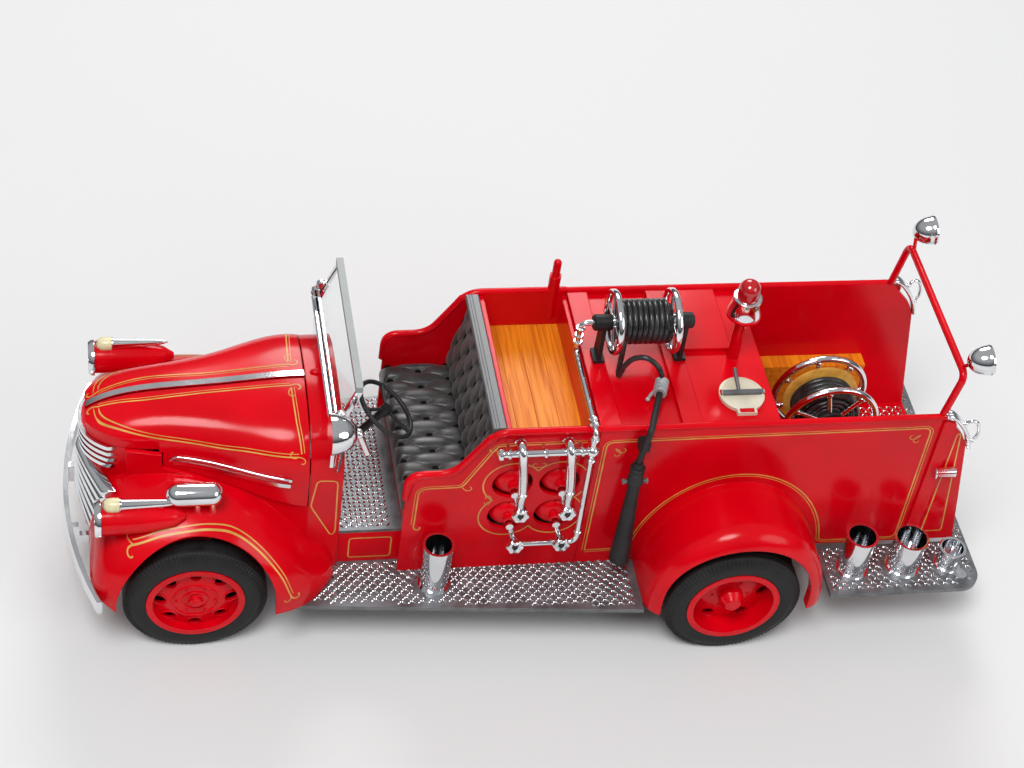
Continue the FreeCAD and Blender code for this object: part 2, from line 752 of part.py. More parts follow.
def body_front():
    """Nose, fenders and pods in one hollow casting, open over the engine."""
    fender = fender_form()
    side = [
        (NOSE_FRONT_X - OVERRUN, NOSE_TOP),
        (BAY_STEP_X, NOSE_TOP),
        (BAY_STEP_X, BAY_TOP_FRONT),
        (COWL_X, BAY_TOP_REAR),
        (COWL_X, FRAME_TOP),
        (NOSE_FRONT_X - OVERRUN, FRAME_TOP),
    ]
    bay = plan_prism(bay_plan(0), FRAME_TOP, NOSE_TOP)
    nose = prow(0, NOSE_LOW, NOSE_TOP).common(
        cross_prism(
            [
                (-NOSE_LOW_HALF, NOSE_LOW),
                (NOSE_LOW_HALF, NOSE_LOW),
                (NOSE_HALF + OVERRUN, NOSE_TOP),
                (-NOSE_HALF - OVERRUN, NOSE_TOP),
            ],
            NOSE_FRONT_X - OVERRUN,
            NOSE_BACK_X + OVERRUN,
        )
    )
    low_nose = box(NOSE_FRONT_X - OVERRUN, NOSE_BACK_X + OVERRUN, -FENDER_HALF, FENDER_HALF, 0, FRAME_TOP)
    upper = joined([bay, nose.cut(low_nose)]).common(side_prism(side, -FENDER_HALF, FENDER_HALF))
    fenders = [fender, mirrored(fender)]
    pod = headlight_pod()
    whole = joined([upper, nose.common(low_nose)] + fenders + [pod, mirrored(pod)])
    # the bay is hollow down to the frame, and each wheel has its house and arch
    hollow = plan_prism(bay_plan(BAY_WALL), 0, NOSE_TOP + OVERRUN)
    whole = whole.cut(hollow)
    skin = FENDER_SKIN * 2
    house_out = -FENDER_HALF + skin
    house = rod(vec(FRONT_AXLE_X, -WHEELHOUSE_IN, AXLE_Z), vec(FRONT_AXLE_X, house_out, AXLE_Z), WHEELHOUSE_R)
    low_x = FRONT_AXLE_X - WHEELHOUSE_R
    high_x = FRONT_AXLE_X + WHEELHOUSE_R
    below = box(low_x, high_x, house_out, -WHEELHOUSE_IN, 0, AXLE_Z)
    inside = box(FENDER_FRONT_X + skin, FENDER_REAR_X - skin, -FENDER_HALF, 0, 0, FENDER_TOP)
    house = house.common(inside)
    below = below.common(inside)
    arch_z = ARCH_TOP - ARCH_R
    arch_end = vec(FRONT_AXLE_X, -WHEELHOUSE_IN, arch_z)
    arch = rod(vec(FRONT_AXLE_X, -FENDER_HALF - OVERRUN, arch_z), arch_end, ARCH_R)
    arch_below = box(
        FRONT_AXLE_X - ARCH_R, FRONT_AXLE_X + ARCH_R, -FENDER_HALF - OVERRUN, -WHEELHOUSE_IN, 0, arch_z
    )
    for cutter in (house, below, arch, arch_below):
        whole = whole.cut(cutter).cut(mirrored(cutter))
    under = spring_y() + SPRING_W + CLEAR
    rails = box(FRAME_FRONT_X - CLEAR, 0, -under, under, 0, FRAME_TOP)
    board = box(BOARD_FRONT_X - CLEAR, 0, -FENDER_HALF - CLEAR, FENDER_HALF + CLEAR, 0, BOARD_TOP)
    arm = box(
        NOSE_FRONT_X - OVERRUN,
        FRAME_FRONT_X,
        BRACKET_Y - BRACKET_T - CLEAR,
        BRACKET_Y + CLEAR,
        FRAME_TOP - BRACKET_H - CLEAR,
        FRAME_TOP,
    )
    whole = whole.cut(rails).cut(board).cut(arm).cut(mirrored(arm))
    # a shelf beside the hood's lower edge leaves room for the edge to swing out
    seat = [(x, z - HOOD_GAP) for x, z in hood_edge()[:-2]]
    seat.extend([(COWL_X + OVERRUN, BAY_TOP_REAR), (COWL_X + OVERRUN, RAIL_TOP)])
    seat.append((NOSE_FRONT_X - OVERRUN, RAIL_TOP))
    shelf = hood_form(-HOOD_SWING).common(side_prism(seat, -FENDER_HALF, FENDER_HALF))
    return whole.cut(shelf).cut(cowl_block(0, COWL_X, COWL_REAR_X))


# Hood: two butterfly halves hinged on a centre strip, red, each with a chrome moulding
HOOD_GAP = 0.3
HOOD_SWING = 1.6
HOOD_T = 1.0
STRIP_HALF = 0.9
STRIP_H = 1.2
HOOD_POWER = 2.8
HOOD_SIDE_Z = 50.0
HOOD_TIP_X = LENGTH * -0.47484
HOOD_CROWN_Z = 66.6
# Hood stations: share of the length, of the cowl's half width, of the crown's rise above the side line
HOOD_SHARES = [
    (0, 0.457, 0.458),
    (0.09, 0.534, 0.639),
    (0.324, 0.612, 0.819),
    (0.631, 0.793, 0.904),
    (1, 1, 1),
]
MOULDING_Z_FRONT = 51.4
MOULDING_Z_REAR = 50.2
MOULDING_FRONT_X = LENGTH * -0.38758
MOULDING_REAR_X = LENGTH * -0.26989
MOULDING_H = 1.3
MOULDING_OUT = 0.5


def hood_section(x, half, crown, inset):
    """A closed hood section across the body."""
    corner = round_corner(0, HOOD_SIDE_Z, half - inset, crown - inset, HOOD_POWER)
    right = [vec(x, y, z) for y, z in corner]
    left = [vec(x, -y, z) for y, z in reversed(corner[1:])]
    low = BAY_TOP_REAR - OVERRUN
    edges = [
        curve(left + right),
        Part.makeLine(right[-1], vec(x, half - inset, low)),
        Part.makeLine(vec(x, half - inset, low), vec(x, -half + inset, low)),
        Part.makeLine(vec(x, -half + inset, low), left[0]),
    ]
    return Part.Wire(edges)


def hood_form(inset):
    """The whole hood as a smooth solid, shrunk by a thickness."""
    wires = []
    for along, wide, up in HOOD_SHARES:
        x = HOOD_TIP_X + (COWL_X - HOOD_TIP_X) * along
        crown = HOOD_SIDE_Z + (HOOD_CROWN_Z - HOOD_SIDE_Z) * up
        wires.append(hood_section(x, COWL_HALF * wide, crown, inset))
    return Part.makeLoft(wires, True, False)


def hood_edge():
    """The side outline of the hood above its lower edge."""
    return [
        (NOSE_FRONT_X - OVERRUN, NOSE_TOP + HOOD_GAP),
        (BAY_STEP_X + HOOD_GAP, NOSE_TOP + HOOD_GAP),
        (BAY_STEP_X + HOOD_GAP, BAY_TOP_FRONT + HOOD_GAP),
        (COWL_X - HOOD_GAP, BAY_TOP_REAR + HOOD_GAP),
        (COWL_X - HOOD_GAP, RAIL_TOP + OVERRUN),
        (NOSE_FRONT_X - OVERRUN, RAIL_TOP + OVERRUN),
    ]


def hood_shell(outer, inner):
    """The shell between two forms, cut to the hood's outline."""
    side = side_prism(hood_edge(), -FENDER_HALF, FENDER_HALF)
    return outer.cut(inner).common(side)


def hood_left():
    """The left half, from the strip to its lower edge."""
    plan = prow(0, BAY_TOP_REAR, RAIL_TOP)
    behind = box(NOSE_BACK_X, COWL_X, -FENDER_HALF, FENDER_HALF, BAY_TOP_REAR - OVERRUN, RAIL_TOP)
    outer = hood_form(0).common(plan.fuse(behind))
    small = prow(-HOOD_T, BAY_TOP_REAR - OVERRUN, RAIL_TOP)
    inner = hood_form(HOOD_T).common(small.fuse(behind))
    shell = hood_shell(outer, inner)
    inner_y = -STRIP_HALF - HOOD_GAP
    left = box(NOSE_FRONT_X - OVERRUN, COWL_X + OVERRUN, -FENDER_HALF, inner_y, 0, RAIL_TOP + OVERRUN)
    return shell.common(left)


def moulding_left():
    """The double chrome moulding along the left hood side."""
    low = MOULDING_Z_REAR - MOULDING_H / 2
    band = side_prism(
        [
            (MOULDING_FRONT_X, MOULDING_Z_FRONT - MOULDING_H / 2),
            (MOULDING_REAR_X, low),
            (MOULDING_REAR_X, low + MOULDING_H),
            (MOULDING_FRONT_X, MOULDING_Z_FRONT + MOULDING_H / 2),
        ],
        -FENDER_HALF,
        0,
    )
    return hood_form(-MOULDING_OUT).common(band).cut(hood_form(0))


def hood_strip():
    """The centre strip that carries both halves, from the nose to the cowl."""
    half = STRIP_HALF
    above = hood_form(-STRIP_H / 2)
    below = hood_form(STRIP_H)
    slab = box(NOSE_FRONT_X + STRIP_H, COWL_X - HOOD_GAP, -half, half, NOSE_TOP + STRIP_H, RAIL_TOP)
    return above.cut(below).common(slab)


# Grille and bumper, chrome
UPPER_BARS = 4
UPPER_BAR_LOW = 46.4
UPPER_BAR_HIGH = NOSE_TOP
LOWER_BARS = 7
LOWER_BAR_LOW = 20.0
LOWER_BAR_HIGH = 43.0
BAR_OUT = 0.9
BAR_H = 1.2
UPPER_BAR_HALF = 11.4
LOWER_BAR_HALF = 7.2
LOWER_BAR_HALF_LAST = 4.4
BUMPER_Z = 24.0
BUMPER_H = 4.4
BUMPER_T = 1.3
BUMPER_HALF = FENDER_HALF * 0.97
BUMPER_SWEEP = 7.6
BRACKET_Y = 11.5
BRACKET_H = 2.4
BRACKET_T = 1.6


def grille():
    """Wrap-round bars in an upper group and a lower group that narrows downward."""
    bars = []
    for count, low, high, half_top, half_low in (
        (UPPER_BARS, UPPER_BAR_LOW, UPPER_BAR_HIGH, UPPER_BAR_HALF, UPPER_BAR_HALF),
        (LOWER_BARS, LOWER_BAR_LOW, LOWER_BAR_HIGH, LOWER_BAR_HALF, LOWER_BAR_HALF_LAST),
    ):
        pitch = (high - low - BAR_H) / (count - 1)
        for index in range(count):
            z = low + index * pitch
            half = half_low + (half_top - half_low) * index / (count - 1)
            band = prow(BAR_OUT, z, z + BAR_H).cut(prow(0, z - OVERRUN, z + OVERRUN))
            bars.append(band.common(box(NOSE_FRONT_X - OVERRUN, NOSE_BACK_X, -half, half, z, z + BAR_H)))
    return gathered(bars)


def bumper():
    """A curved blade on two brackets from the frame."""
    front = -HALF_LENGTH
    back = front + BUMPER_SWEEP
    low = BUMPER_Z - BUMPER_H / 2
    outer = Part.Arc(vec(back, -BUMPER_HALF, low), vec(front, 0, low), vec(back, BUMPER_HALF, low)).toShape()
    inner = Part.Arc(
        vec(back + BUMPER_T, BUMPER_HALF, low),
        vec(front + BUMPER_T, 0, low),
        vec(back + BUMPER_T, -BUMPER_HALF, low),
    ).toShape()
    ends = [
        Part.makeLine(vec(back, BUMPER_HALF, low), vec(back + BUMPER_T, BUMPER_HALF, low)),
        Part.makeLine(vec(back + BUMPER_T, -BUMPER_HALF, low), vec(back, -BUMPER_HALF, low)),
    ]
    blade = Part.Face(Part.Wire([outer, ends[0], inner, ends[1]])).extrude(vec(0, 0, BUMPER_H))
    arm_low = FRAME_TOP - BRACKET_H
    arm = box(front + BUMPER_T, FRAME_FRONT_X, BRACKET_Y - BRACKET_T, BRACKET_Y, arm_low, FRAME_TOP)
    riser_end = front + BUMPER_T + BRACKET_H
    riser = box(front + BUMPER_T, riser_end, BRACKET_Y - BRACKET_T, BRACKET_Y, arm_low, BUMPER_Z)
    bracket = arm.fuse(riser)
    return joined([blade, bracket, mirrored(bracket)])


# Lamps and trim on the fenders, chrome with clear and cream lenses
RIM_RING_L = 1.6
RIM_RING_R = 4.9
LENS_R = 4.1
LENS_T = 0.9
SPEAR_Z = 51.2
SPEAR_L = 13.5
SPEAR_R = 1.1
SPEAR_TIP_R = 0.5
MARKER_R = 1.3
SIREN_X = LENGTH * -0.36851
SIREN_Y = FENDER_HALF * 0.665
SIREN_Z = 52.0
SIREN_R = 3.0
SIREN_L = 14.4
SIREN_FOOT_R = 0.9
SIREN_FOOT_SHARES = (0.55, 0.82)


def marker_x():
    """The front end of the spear, behind the headlight's rim."""
    return POD_FRONT_X + MARKER_R + CLEAR / 3


def headlight_trim():
    """A chrome rim on each pod and a spear along its top."""
    pieces = []
    front = POD_FRONT_X
    rim = [
        (-RIM_RING_L, LENS_R),
        (-RIM_RING_L, RIM_RING_R - RIM_RING_L / 4),
        (-RIM_RING_L / 2, RIM_RING_R),
        (0, RIM_RING_R),
        (0, LENS_R),
    ]
    ring = turned(rim, vec(front, -POD_Y, POD_Z), vec(1, 0, 0))
    end = front + SPEAR_L
    spear = cone(vec(marker_x(), -POD_Y, SPEAR_Z), vec(end, -POD_Y, SPEAR_Z), SPEAR_R, SPEAR_TIP_R)
    foot = box(
        marker_x(), end, -POD_Y - SPEAR_TIP_R, -POD_Y + SPEAR_TIP_R, POD_Z, SPEAR_Z
    )
    pod = headlight_pod()
    blade = spear.fuse(foot).cut(pod).cut(fender_form())
    for piece in (ring, blade):
        pieces.append(piece)
        pieces.append(mirrored(piece))
    return gathered(pieces)


def lamp_lenses():
    """The headlight lenses and the small marker lamps on the spears."""
    front = POD_FRONT_X
    lens = rod(vec(front - LENS_T, -POD_Y, POD_Z), vec(front, -POD_Y, POD_Z), LENS_R)
    marker = ball(vec(marker_x(), -POD_Y, SPEAR_Z), MARKER_R).cut(headlight_pod())
    marker = marker.common(
        box(front - OVERRUN, marker_x(), -POD_Y - OVERRUN, -POD_Y + OVERRUN, 0, SPEAR_Z + OVERRUN)
    )
    return gathered([lens, mirrored(lens), marker, mirrored(marker)])


def siren():
    """A chrome capsule with a ribbed front on two feet, on the left fender."""
    start = vec(SIREN_X - SIREN_L / 2, -SIREN_Y, SIREN_Z)
    straight = SIREN_L - 2 * SIREN_R
    profile = [(0, 0)]
    for index in range(1, ROUND_STEPS + 1):
        turn = math.pi / 2 * index / ROUND_STEPS
        profile.append((SIREN_R * (1 - math.cos(turn)), SIREN_R * math.sin(turn)))
    for index in range(ROUND_STEPS + 1):
        turn = math.pi / 2 * index / ROUND_STEPS
        profile.append((SIREN_R + straight + SIREN_R * math.sin(turn), SIREN_R * math.cos(turn)))
    body = turned(profile, start, vec(1, 0, 0))
    feet = []
    for share in SIREN_FOOT_SHARES:
        x = start.x + SIREN_L * share
        feet.append(rod(vec(x, -SIREN_Y, FENDER_TOP - SIREN_R), vec(x, -SIREN_Y, SIREN_Z), SIREN_FOOT_R))
    whole = joined([body] + feet)
    return whole.cut(fender_form())


# Cowl and windshield
COWL_REAR_X = LENGTH * -0.2151
COWL_TOP = 67.2
COWL_POWER = 2.6
FIREWALL_X = COWL_X + WALL
DASH_LOW = 55.0
DASH_T = 1.2
WIND_LOW_X = LENGTH * -0.2289
WIND_LOW_Z = 71.6
WIND_TOP_X = LENGTH * -0.20779
WIND_TOP_Z = 83.4
WIND_HALF = BODY_HALF * 0.90385
WIND_T = 0.8
WIND_BAR_W = 1.8
SPOT_OUT = 6.1
SPOT_Y = WIND_HALF + SPOT_OUT
SPOT_X = LENGTH * -0.22321
SPOT_Z = 75.4
SPOT_R = 5.2
SPOT_L = 7.0
SPOT_STEM_R = 0.8
SPOT_KNOB_R = 1.3
SPOT_GRIP_L = 7.3


def cowl_profile(inset):
    """The cross outline of the cowl: a rounded top on straight sides."""
    corner = round_corner(0, HOOD_SIDE_Z, COWL_HALF - inset, COWL_TOP - inset, COWL_POWER)
    right = [vec(0, y, z) for y, z in corner]
    left = [vec(0, -y, z) for y, z in reversed(corner[1:])]
    low = BOARD_TOP
    edges = [
        curve(left + right),
        Part.makeLine(right[-1], vec(0, COWL_HALF - inset, low)),
        Part.makeLine(vec(0, COWL_HALF - inset, low), vec(0, -COWL_HALF + inset, low)),
        Part.makeLine(vec(0, -COWL_HALF + inset, low), left[0]),
    ]
    return Part.Face(Part.Wire(edges))


def cowl_block(inset, x0, x1):
    """The cowl outline pushed along between two places."""
    face = cowl_profile(inset)
    face.translate(vec(x0, 0, 0))
    return face.extrude(vec(x1 - x0, 0, 0))


def cowl():
    """A hooped shell with a firewall in front and a dashboard behind."""
    block = cowl_block(0, COWL_X, COWL_REAR_X)
    inner = cowl_block(WALL, FIREWALL_X, COWL_REAR_X + OVERRUN)
    dash = cowl_block(WALL, COWL_REAR_X - DASH_T, COWL_REAR_X)
    keep = box(COWL_X, COWL_REAR_X + OVERRUN, -FENDER_HALF, FENDER_HALF, DASH_LOW, RAIL_TOP)
    whole = joined([block.cut(inner), dash.common(keep)])
    under = spring_y() + SPRING_W + CLEAR
    tunnel = box(COWL_X - OVERRUN, COWL_REAR_X + OVERRUN, -under, under, 0, FRAME_TOP)
    return whole.cut(tunnel)


def wind_point(share, lift):
    """A place up the raked windshield."""
    x = WIND_LOW_X + (WIND_TOP_X - WIND_LOW_X) * share
    z = WIND_LOW_Z + (WIND_TOP_Z - WIND_LOW_Z) * share
    return x, z + lift


def windshield_glass():
    """One raked pane."""
    low_x, low_z = wind_point(0, 0)
    top_x, top_z = wind_point(1, 0)
    half = WIND_T / 2
    pane = [(low_x - half, low_z), (low_x + half, low_z), (top_x + half, top_z), (top_x - half, top_z)]
    return side_prism(pane, -WIND_HALF + WIND_T, WIND_HALF - WIND_T)


def windshield_frame():
    """A top bar, two side bars and a sill that follows the cowl."""
    low_x, low_z = wind_point(0, 0)
    top_x, top_z = wind_point(1, 0)
    half = WIND_BAR_W / 2
    bar = box(top_x - half, top_x + half, -WIND_HALF, WIND_HALF, top_z, top_z + WIND_BAR_W)
    sill = box(low_x - half, low_x + half, -WIND_HALF, WIND_HALF, low_z - WIND_BAR_W, low_z)
    side = side_prism(
        [
            (low_x - half, low_z - WIND_BAR_W),
            (low_x + half, low_z - WIND_BAR_W),
            (top_x + half, top_z),
            (top_x - half, top_z),
        ],
        -WIND_HALF,
        -WIND_HALF + WIND_T,
    )
    skirt = box(low_x - half / 2, low_x + half / 2, -WIND_HALF, WIND_HALF, HOOD_SIDE_Z, low_z - WIND_BAR_W)
    skirt = skirt.cut(cowl_block(0, COWL_X, COWL_REAR_X))
    skirt = skirt.common(box(low_x - half, low_x + half, -COWL_HALF, COWL_HALF, DASH_LOW + DASH_T, low_z))
    return joined([bar, sill, side, mirrored(side), skirt])


def spotlight():
    """A chrome bowl on a stem from the left cowl side."""
    start = vec(SPOT_X + SPOT_L / 2, -SPOT_Y, SPOT_Z)
    profile = [(0, 0)]
    for index in range(1, ROUND_STEPS + 1):
        turn = math.pi / 2 * index / ROUND_STEPS
        profile.append((SPOT_L * (1 - math.cos(turn)), SPOT_R * math.sin(turn)))
    profile.append((SPOT_L, 0))
    bowl = turned(profile, start, vec(-1, 0, 0))
    knob = ball(start, SPOT_KNOB_R)
    grip = rod(start, vec(start.x + SPOT_R / 2, start.y, start.z - SPOT_GRIP_L), SPOT_STEM_R)
    stem = rod(vec(SPOT_X, -SPOT_Y, SPOT_Z), vec(SPOT_X, -COWL_HALF + SPOT_STEM_R / 2, DASH_LOW), SPOT_STEM_R)
    return joined([bowl, knob, grip, stem]).cut(cowl_block(0, COWL_X, COWL_REAR_X))


# Cab: floor, steering and seat
CAB_HALF = COWL_HALF - WALL
FLOOR_T = 1.0
TUB_FRONT_X = LENGTH * -0.1461
WHEEL_X = LENGTH * -0.16883
WHEEL_Y = BODY_HALF * 0.40385
WHEEL_Z = 63.6
WHEEL_RAKE = 38.0
WHEEL_R = 8.6
WHEEL_RIM_R = 0.6
WHEEL_HUB_R = 1.5
WHEEL_HUB_L = 1.6
WHEEL_SPOKES = 3
SPOKE_R = 0.45
COLUMN_R = 1.0
COLUMN_PIN_R = 0.7
SEAT_HALF = BODY_HALF - WALL - CLEAR
CUSHION_FRONT_X = LENGTH * -0.1526
CUSHION_REAR_X = LENGTH * -0.07062
CUSHION_LOW = 40.4
CUSHION_H = 6.0
CUSHION_ROUND = 1.4
BACK_TOP = 68.8
BACK_T = 3.6
BACK_LEAN = 4.6
BACK_REAR_X = LENGTH * -0.05235
BAR_T = 1.2


def cab_floor():
    """A flat tread plate from the cowl back to the seat box."""
    return box(FIREWALL_X, TUB_FRONT_X, -CAB_HALF, CAB_HALF, FLOOR_TOP - FLOOR_T, FLOOR_TOP)


def column_point(along):
    """A place on the steering column's axis, measured up from the wheel's hub."""
    rake = math.radians(WHEEL_RAKE)
    return vec(WHEEL_X + along * math.sin(rake), -WHEEL_Y, WHEEL_Z + along * math.cos(rake))


def steering_column():
    """A straight column from the firewall to the wheel, with a pin for the hub."""
    foot = -(WHEEL_Z - FLOOR_TOP) / math.cos(math.radians(WHEEL_RAKE))
    column = rod(column_point(foot), column_point(-WHEEL_HUB_L), COLUMN_R)
    pin = rod(column_point(-WHEEL_HUB_L), column_point(-WHEEL_HUB_L / 4), COLUMN_PIN_R)
    above = box(FIREWALL_X, TUB_FRONT_X, -COWL_HALF, COWL_HALF, FLOOR_TOP, RAIL_TOP)
    return column.fuse(pin).common(above)


def steering_wheel():
    """A thin rim with three spokes and a hub that turns on the column's pin."""
    axis = column_point(1).sub(column_point(0)).normalize()
    ring = Part.makeTorus(WHEEL_R, WHEEL_RIM_R, column_point(0), axis)
    hub = rod(column_point(-WHEEL_HUB_L + CLEAR / 3), column_point(WHEEL_HUB_L / 2), WHEEL_HUB_R)
    pieces = [ring, hub]
    across = vec(0, 1, 0)
    up = axis.cross(across)
    for index in range(WHEEL_SPOKES):
        angle = 2 * math.pi * index / WHEEL_SPOKES
        out = vec(*across).multiply(math.cos(angle)).add(vec(*up).multiply(math.sin(angle)))
        pieces.append(rod(column_point(0), column_point(0).add(out.multiply(WHEEL_R)), SPOKE_R))
    wheel = joined(pieces)
    bore_end = column_point(-WHEEL_HUB_L / 4 + CLEAR / 3)
    return wheel.cut(rod(column_point(-WHEEL_HUB_L * 2), bore_end, COLUMN_PIN_R + FIT))


def seat_cushion():
    """The bench cushion as one plain block with soft edges."""
    rear_x = CUSHION_REAR_X - CLEAR
    block = box(CUSHION_FRONT_X, rear_x, -SEAT_HALF, SEAT_HALF, CUSHION_LOW, CUSHION_LOW + CUSHION_H)
    top = [edge for edge in block.Edges if edge.BoundBox.ZMin > CUSHION_LOW + CUSHION_H / 2]
    return block.makeFillet(CUSHION_ROUND, top)


def seat_back():
    """The leaning backrest, with a flat bar along its top."""
    low = CUSHION_LOW
    lean = BACK_LEAN
    profile = [
        (BACK_REAR_X - lean - BACK_T, low + CUSHION_H + CLEAR),
        (BACK_REAR_X - lean, low + CUSHION_H + CLEAR),
        (BACK_REAR_X, BACK_TOP),
        (BACK_REAR_X - BACK_T + BAR_T, BACK_TOP),
    ]
    back = side_prism(profile, -SEAT_HALF, SEAT_HALF)
    bar = box(BACK_REAR_X - BACK_T, BACK_REAR_X, -SEAT_HALF, SEAT_HALF, BACK_TOP, BACK_TOP + BAR_T)
    return joined([back, bar])


# Tub: seat box, side panels with the bottle openings, and the compartment, red
PANEL_FRONT_X = LENGTH * -0.15016
ARM_FRONT_X = LENGTH * -0.13799
ARM_Z = 54.8
ARM_REAR_X = LENGTH * -0.09862
SLOPE_TOP_X = LENGTH * -0.06169
DECK_FRONT_X = LENGTH * 0.04545
PANEL_ROUND = 4.0
RAIL_ROLL = 0.9
WOOD_TOP = 58.0
WOOD_T = 0.7
BOTTLE_R = 4.9
BOTTLE_TOP_Z = 50.5
BOTTLE_LOW_Z = 38.2
BOTTLE_FRONT_X = LENGTH * -0.03856
BOTTLE_PITCH = 12.4
BOTTLE_XS = (BOTTLE_FRONT_X, BOTTLE_FRONT_X + BOTTLE_PITCH)
BOTTLE_DOME = 3.6
BOTTLE_INSET = 0.6
BOTTLE_NECK_R = 1.4
BOTTLE_NECK_L = 1.6
RECESS_R = 5.3
POST_X = LENGTH * 0.03125
POST_LOW_Z = 60.0
POST_SHOULDER_Z = 75.0
POST_CAP_Z = 79.4
POST_OUT_R = 1.6
POST_CAP_R = 1.1


def panel_outline():
    """The side panel's outline in the side view."""
    return [
        (PANEL_FRONT_X, BOARD_TOP),
        (PANEL_FRONT_X, ARM_Z - PANEL_ROUND * 2),
        (ARM_FRONT_X - PANEL_ROUND / 2, ARM_Z - PANEL_ROUND / 2),
        (ARM_FRONT_X + PANEL_ROUND / 4, ARM_Z),
        (ARM_REAR_X - PANEL_ROUND / 2, ARM_Z),
        (ARM_REAR_X, ARM_Z + PANEL_ROUND / 4),
        (SLOPE_TOP_X - PANEL_ROUND / 2, RAIL_TOP - PANEL_ROUND / 2),
        (SLOPE_TOP_X + PANEL_ROUND / 2, RAIL_TOP),
        (DECK_FRONT_X, RAIL_TOP),
        (DECK_FRONT_X, BOARD_TOP),
    ]


def tub():
    """Seat box and compartment between two side panels with rolled rails."""
    panel = side_prism(panel_outline(), -BODY_HALF, -BODY_HALF + WALL)
    rail_path = [vec(x, -BODY_HALF + RAIL_ROLL / 3, z) for x, z in panel_outline()[1:-1]]
    roll = [rod(a, b, RAIL_ROLL) for a, b in zip(rail_path, rail_path[1:])]
    knees = [ball(point, RAIL_ROLL) for point in rail_path[1:-1]]
    side = joined([panel] + roll + knees)
    inner = BODY_HALF - WALL / 2
    front = box(TUB_FRONT_X, TUB_FRONT_X + WALL, -inner, inner, FRAME_TOP, CUSHION_LOW)
    foot_x = BACK_REAR_X - BACK_LEAN + CLEAR
    divider = side_prism(
        [
            (foot_x, FRAME_TOP),
            (foot_x, CUSHION_LOW + CUSHION_H),
            (BACK_REAR_X + CLEAR, BACK_TOP),
            (BACK_REAR_X + CLEAR + WALL, BACK_TOP),
            (foot_x + WALL, CUSHION_LOW + CUSHION_H),
            (foot_x + WALL, FRAME_TOP),
        ],
        -inner,
        inner,
    )
    seat_top = box(TUB_FRONT_X, foot_x, -inner, inner, CUSHION_LOW - WALL, CUSHION_LOW)
    riser = box(COWL_REAR_X, TUB_FRONT_X, -CAB_HALF, -CAB_HALF + WALL, BOARD_TOP, FLOOR_TOP - FLOOR_T)
    rear = box(DECK_FRONT_X - WALL, DECK_FRONT_X, -inner, inner, FRAME_TOP, DECK_TOP)
    whole = joined([side, mirrored(side), front, seat_top, divider, riser, mirrored(riser), rear])
    for x in BOTTLE_XS:
        for z in (BOTTLE_TOP_Z, BOTTLE_LOW_Z):
            whole = whole.cut(rod(vec(x, -BODY_HALF - OVERRUN, z), vec(x, BODY_HALF + OVERRUN, z), RECESS_R))
    post = rod(vec(POST_X, BODY_HALF, POST_LOW_Z), vec(POST_X, BODY_HALF, POST_SHOULDER_Z), POST_OUT_R)
    cap = rod(vec(POST_X, BODY_HALF, POST_SHOULDER_Z), vec(POST_X, BODY_HALF, POST_CAP_Z), POST_CAP_R)
    whole = joined([whole, post, cap, ball(vec(POST_X, BODY_HALF, POST_CAP_Z), POST_CAP_R)])
    tunnel = box(PANEL_FRONT_X - OVERRUN, DECK_FRONT_X + OVERRUN, -FRAME_HALF, FRAME_HALF, 0, FRAME_TOP)
    return whole.cut(tunnel)


# Wood: planked floor over the bottles and two benches in the hose bed
PLANKS = 4
PLANK_GAP = 0.25
BENCH_W = 4.6
BENCH_TOP = 43.0
BENCH_FRONT_X = LENGTH * 0.25162
BENCH_REAR_X = LENGTH * 0.4099


def wood():
    """Crosswise planks in the compartment, and one long bench on each side behind."""
    inner = BODY_HALF - WALL - CLEAR / 3
    share = (BACK_TOP - WOOD_TOP + WOOD_T) / (BACK_TOP - CUSHION_LOW - CUSHION_H)
    front_x = BACK_REAR_X - BACK_LEAN * share + WALL * 2
    length = DECK_FRONT_X - WALL - front_x
    pitch = length / PLANKS
    pieces = []
    for index in range(PLANKS):
        x = front_x + index * pitch
        pieces.append(box(x, x + pitch, -inner, inner, WOOD_TOP - WOOD_T, WOOD_TOP))
    floor = joined(pieces)
    for index in range(1, PLANKS):
        x = front_x + index * pitch
        half = PLANK_GAP / 2
        floor = floor.cut(box(x - half, x + half, -inner, inner, WOOD_TOP - WOOD_T / 2, WOOD_TOP + OVERRUN))
    bench = box(BENCH_FRONT_X, BENCH_REAR_X, inner - BENCH_W, inner, BED_FLOOR, BENCH_TOP)
    return gathered([floor, bench, mirrored(bench)])


def bottle_profile():
    """Half of a bottle's outline from its middle to its neck, as (along, radius)."""
    half = BODY_HALF + BOTTLE_INSET
    profile = []
    for index in range(ROUND_STEPS):
        turn = math.pi / 2 * index / ROUND_STEPS
        radius = BOTTLE_NECK_R + (BOTTLE_R - BOTTLE_NECK_R) * math.cos(turn)
        profile.append((half + BOTTLE_DOME * (math.sin(turn) - 1), radius))
    return profile + [(half, BOTTLE_NECK_R), (half + BOTTLE_NECK_L, BOTTLE_NECK_R), (half + BOTTLE_NECK_L, 0)]


def bottles():
    """Four gas bottles that lie crosswise under the wood floor, necks outward."""
    profile = bottle_profile()
    outline_points = [(-along, radius) for along, radius in reversed(profile)] + profile
    solids = []
    for x in BOTTLE_XS:
        for z in (BOTTLE_TOP_Z, BOTTLE_LOW_Z):
            solids.append(turned(outline_points, vec(x, 0, z), vec(0, 1, 0)))
    return gathered(solids)


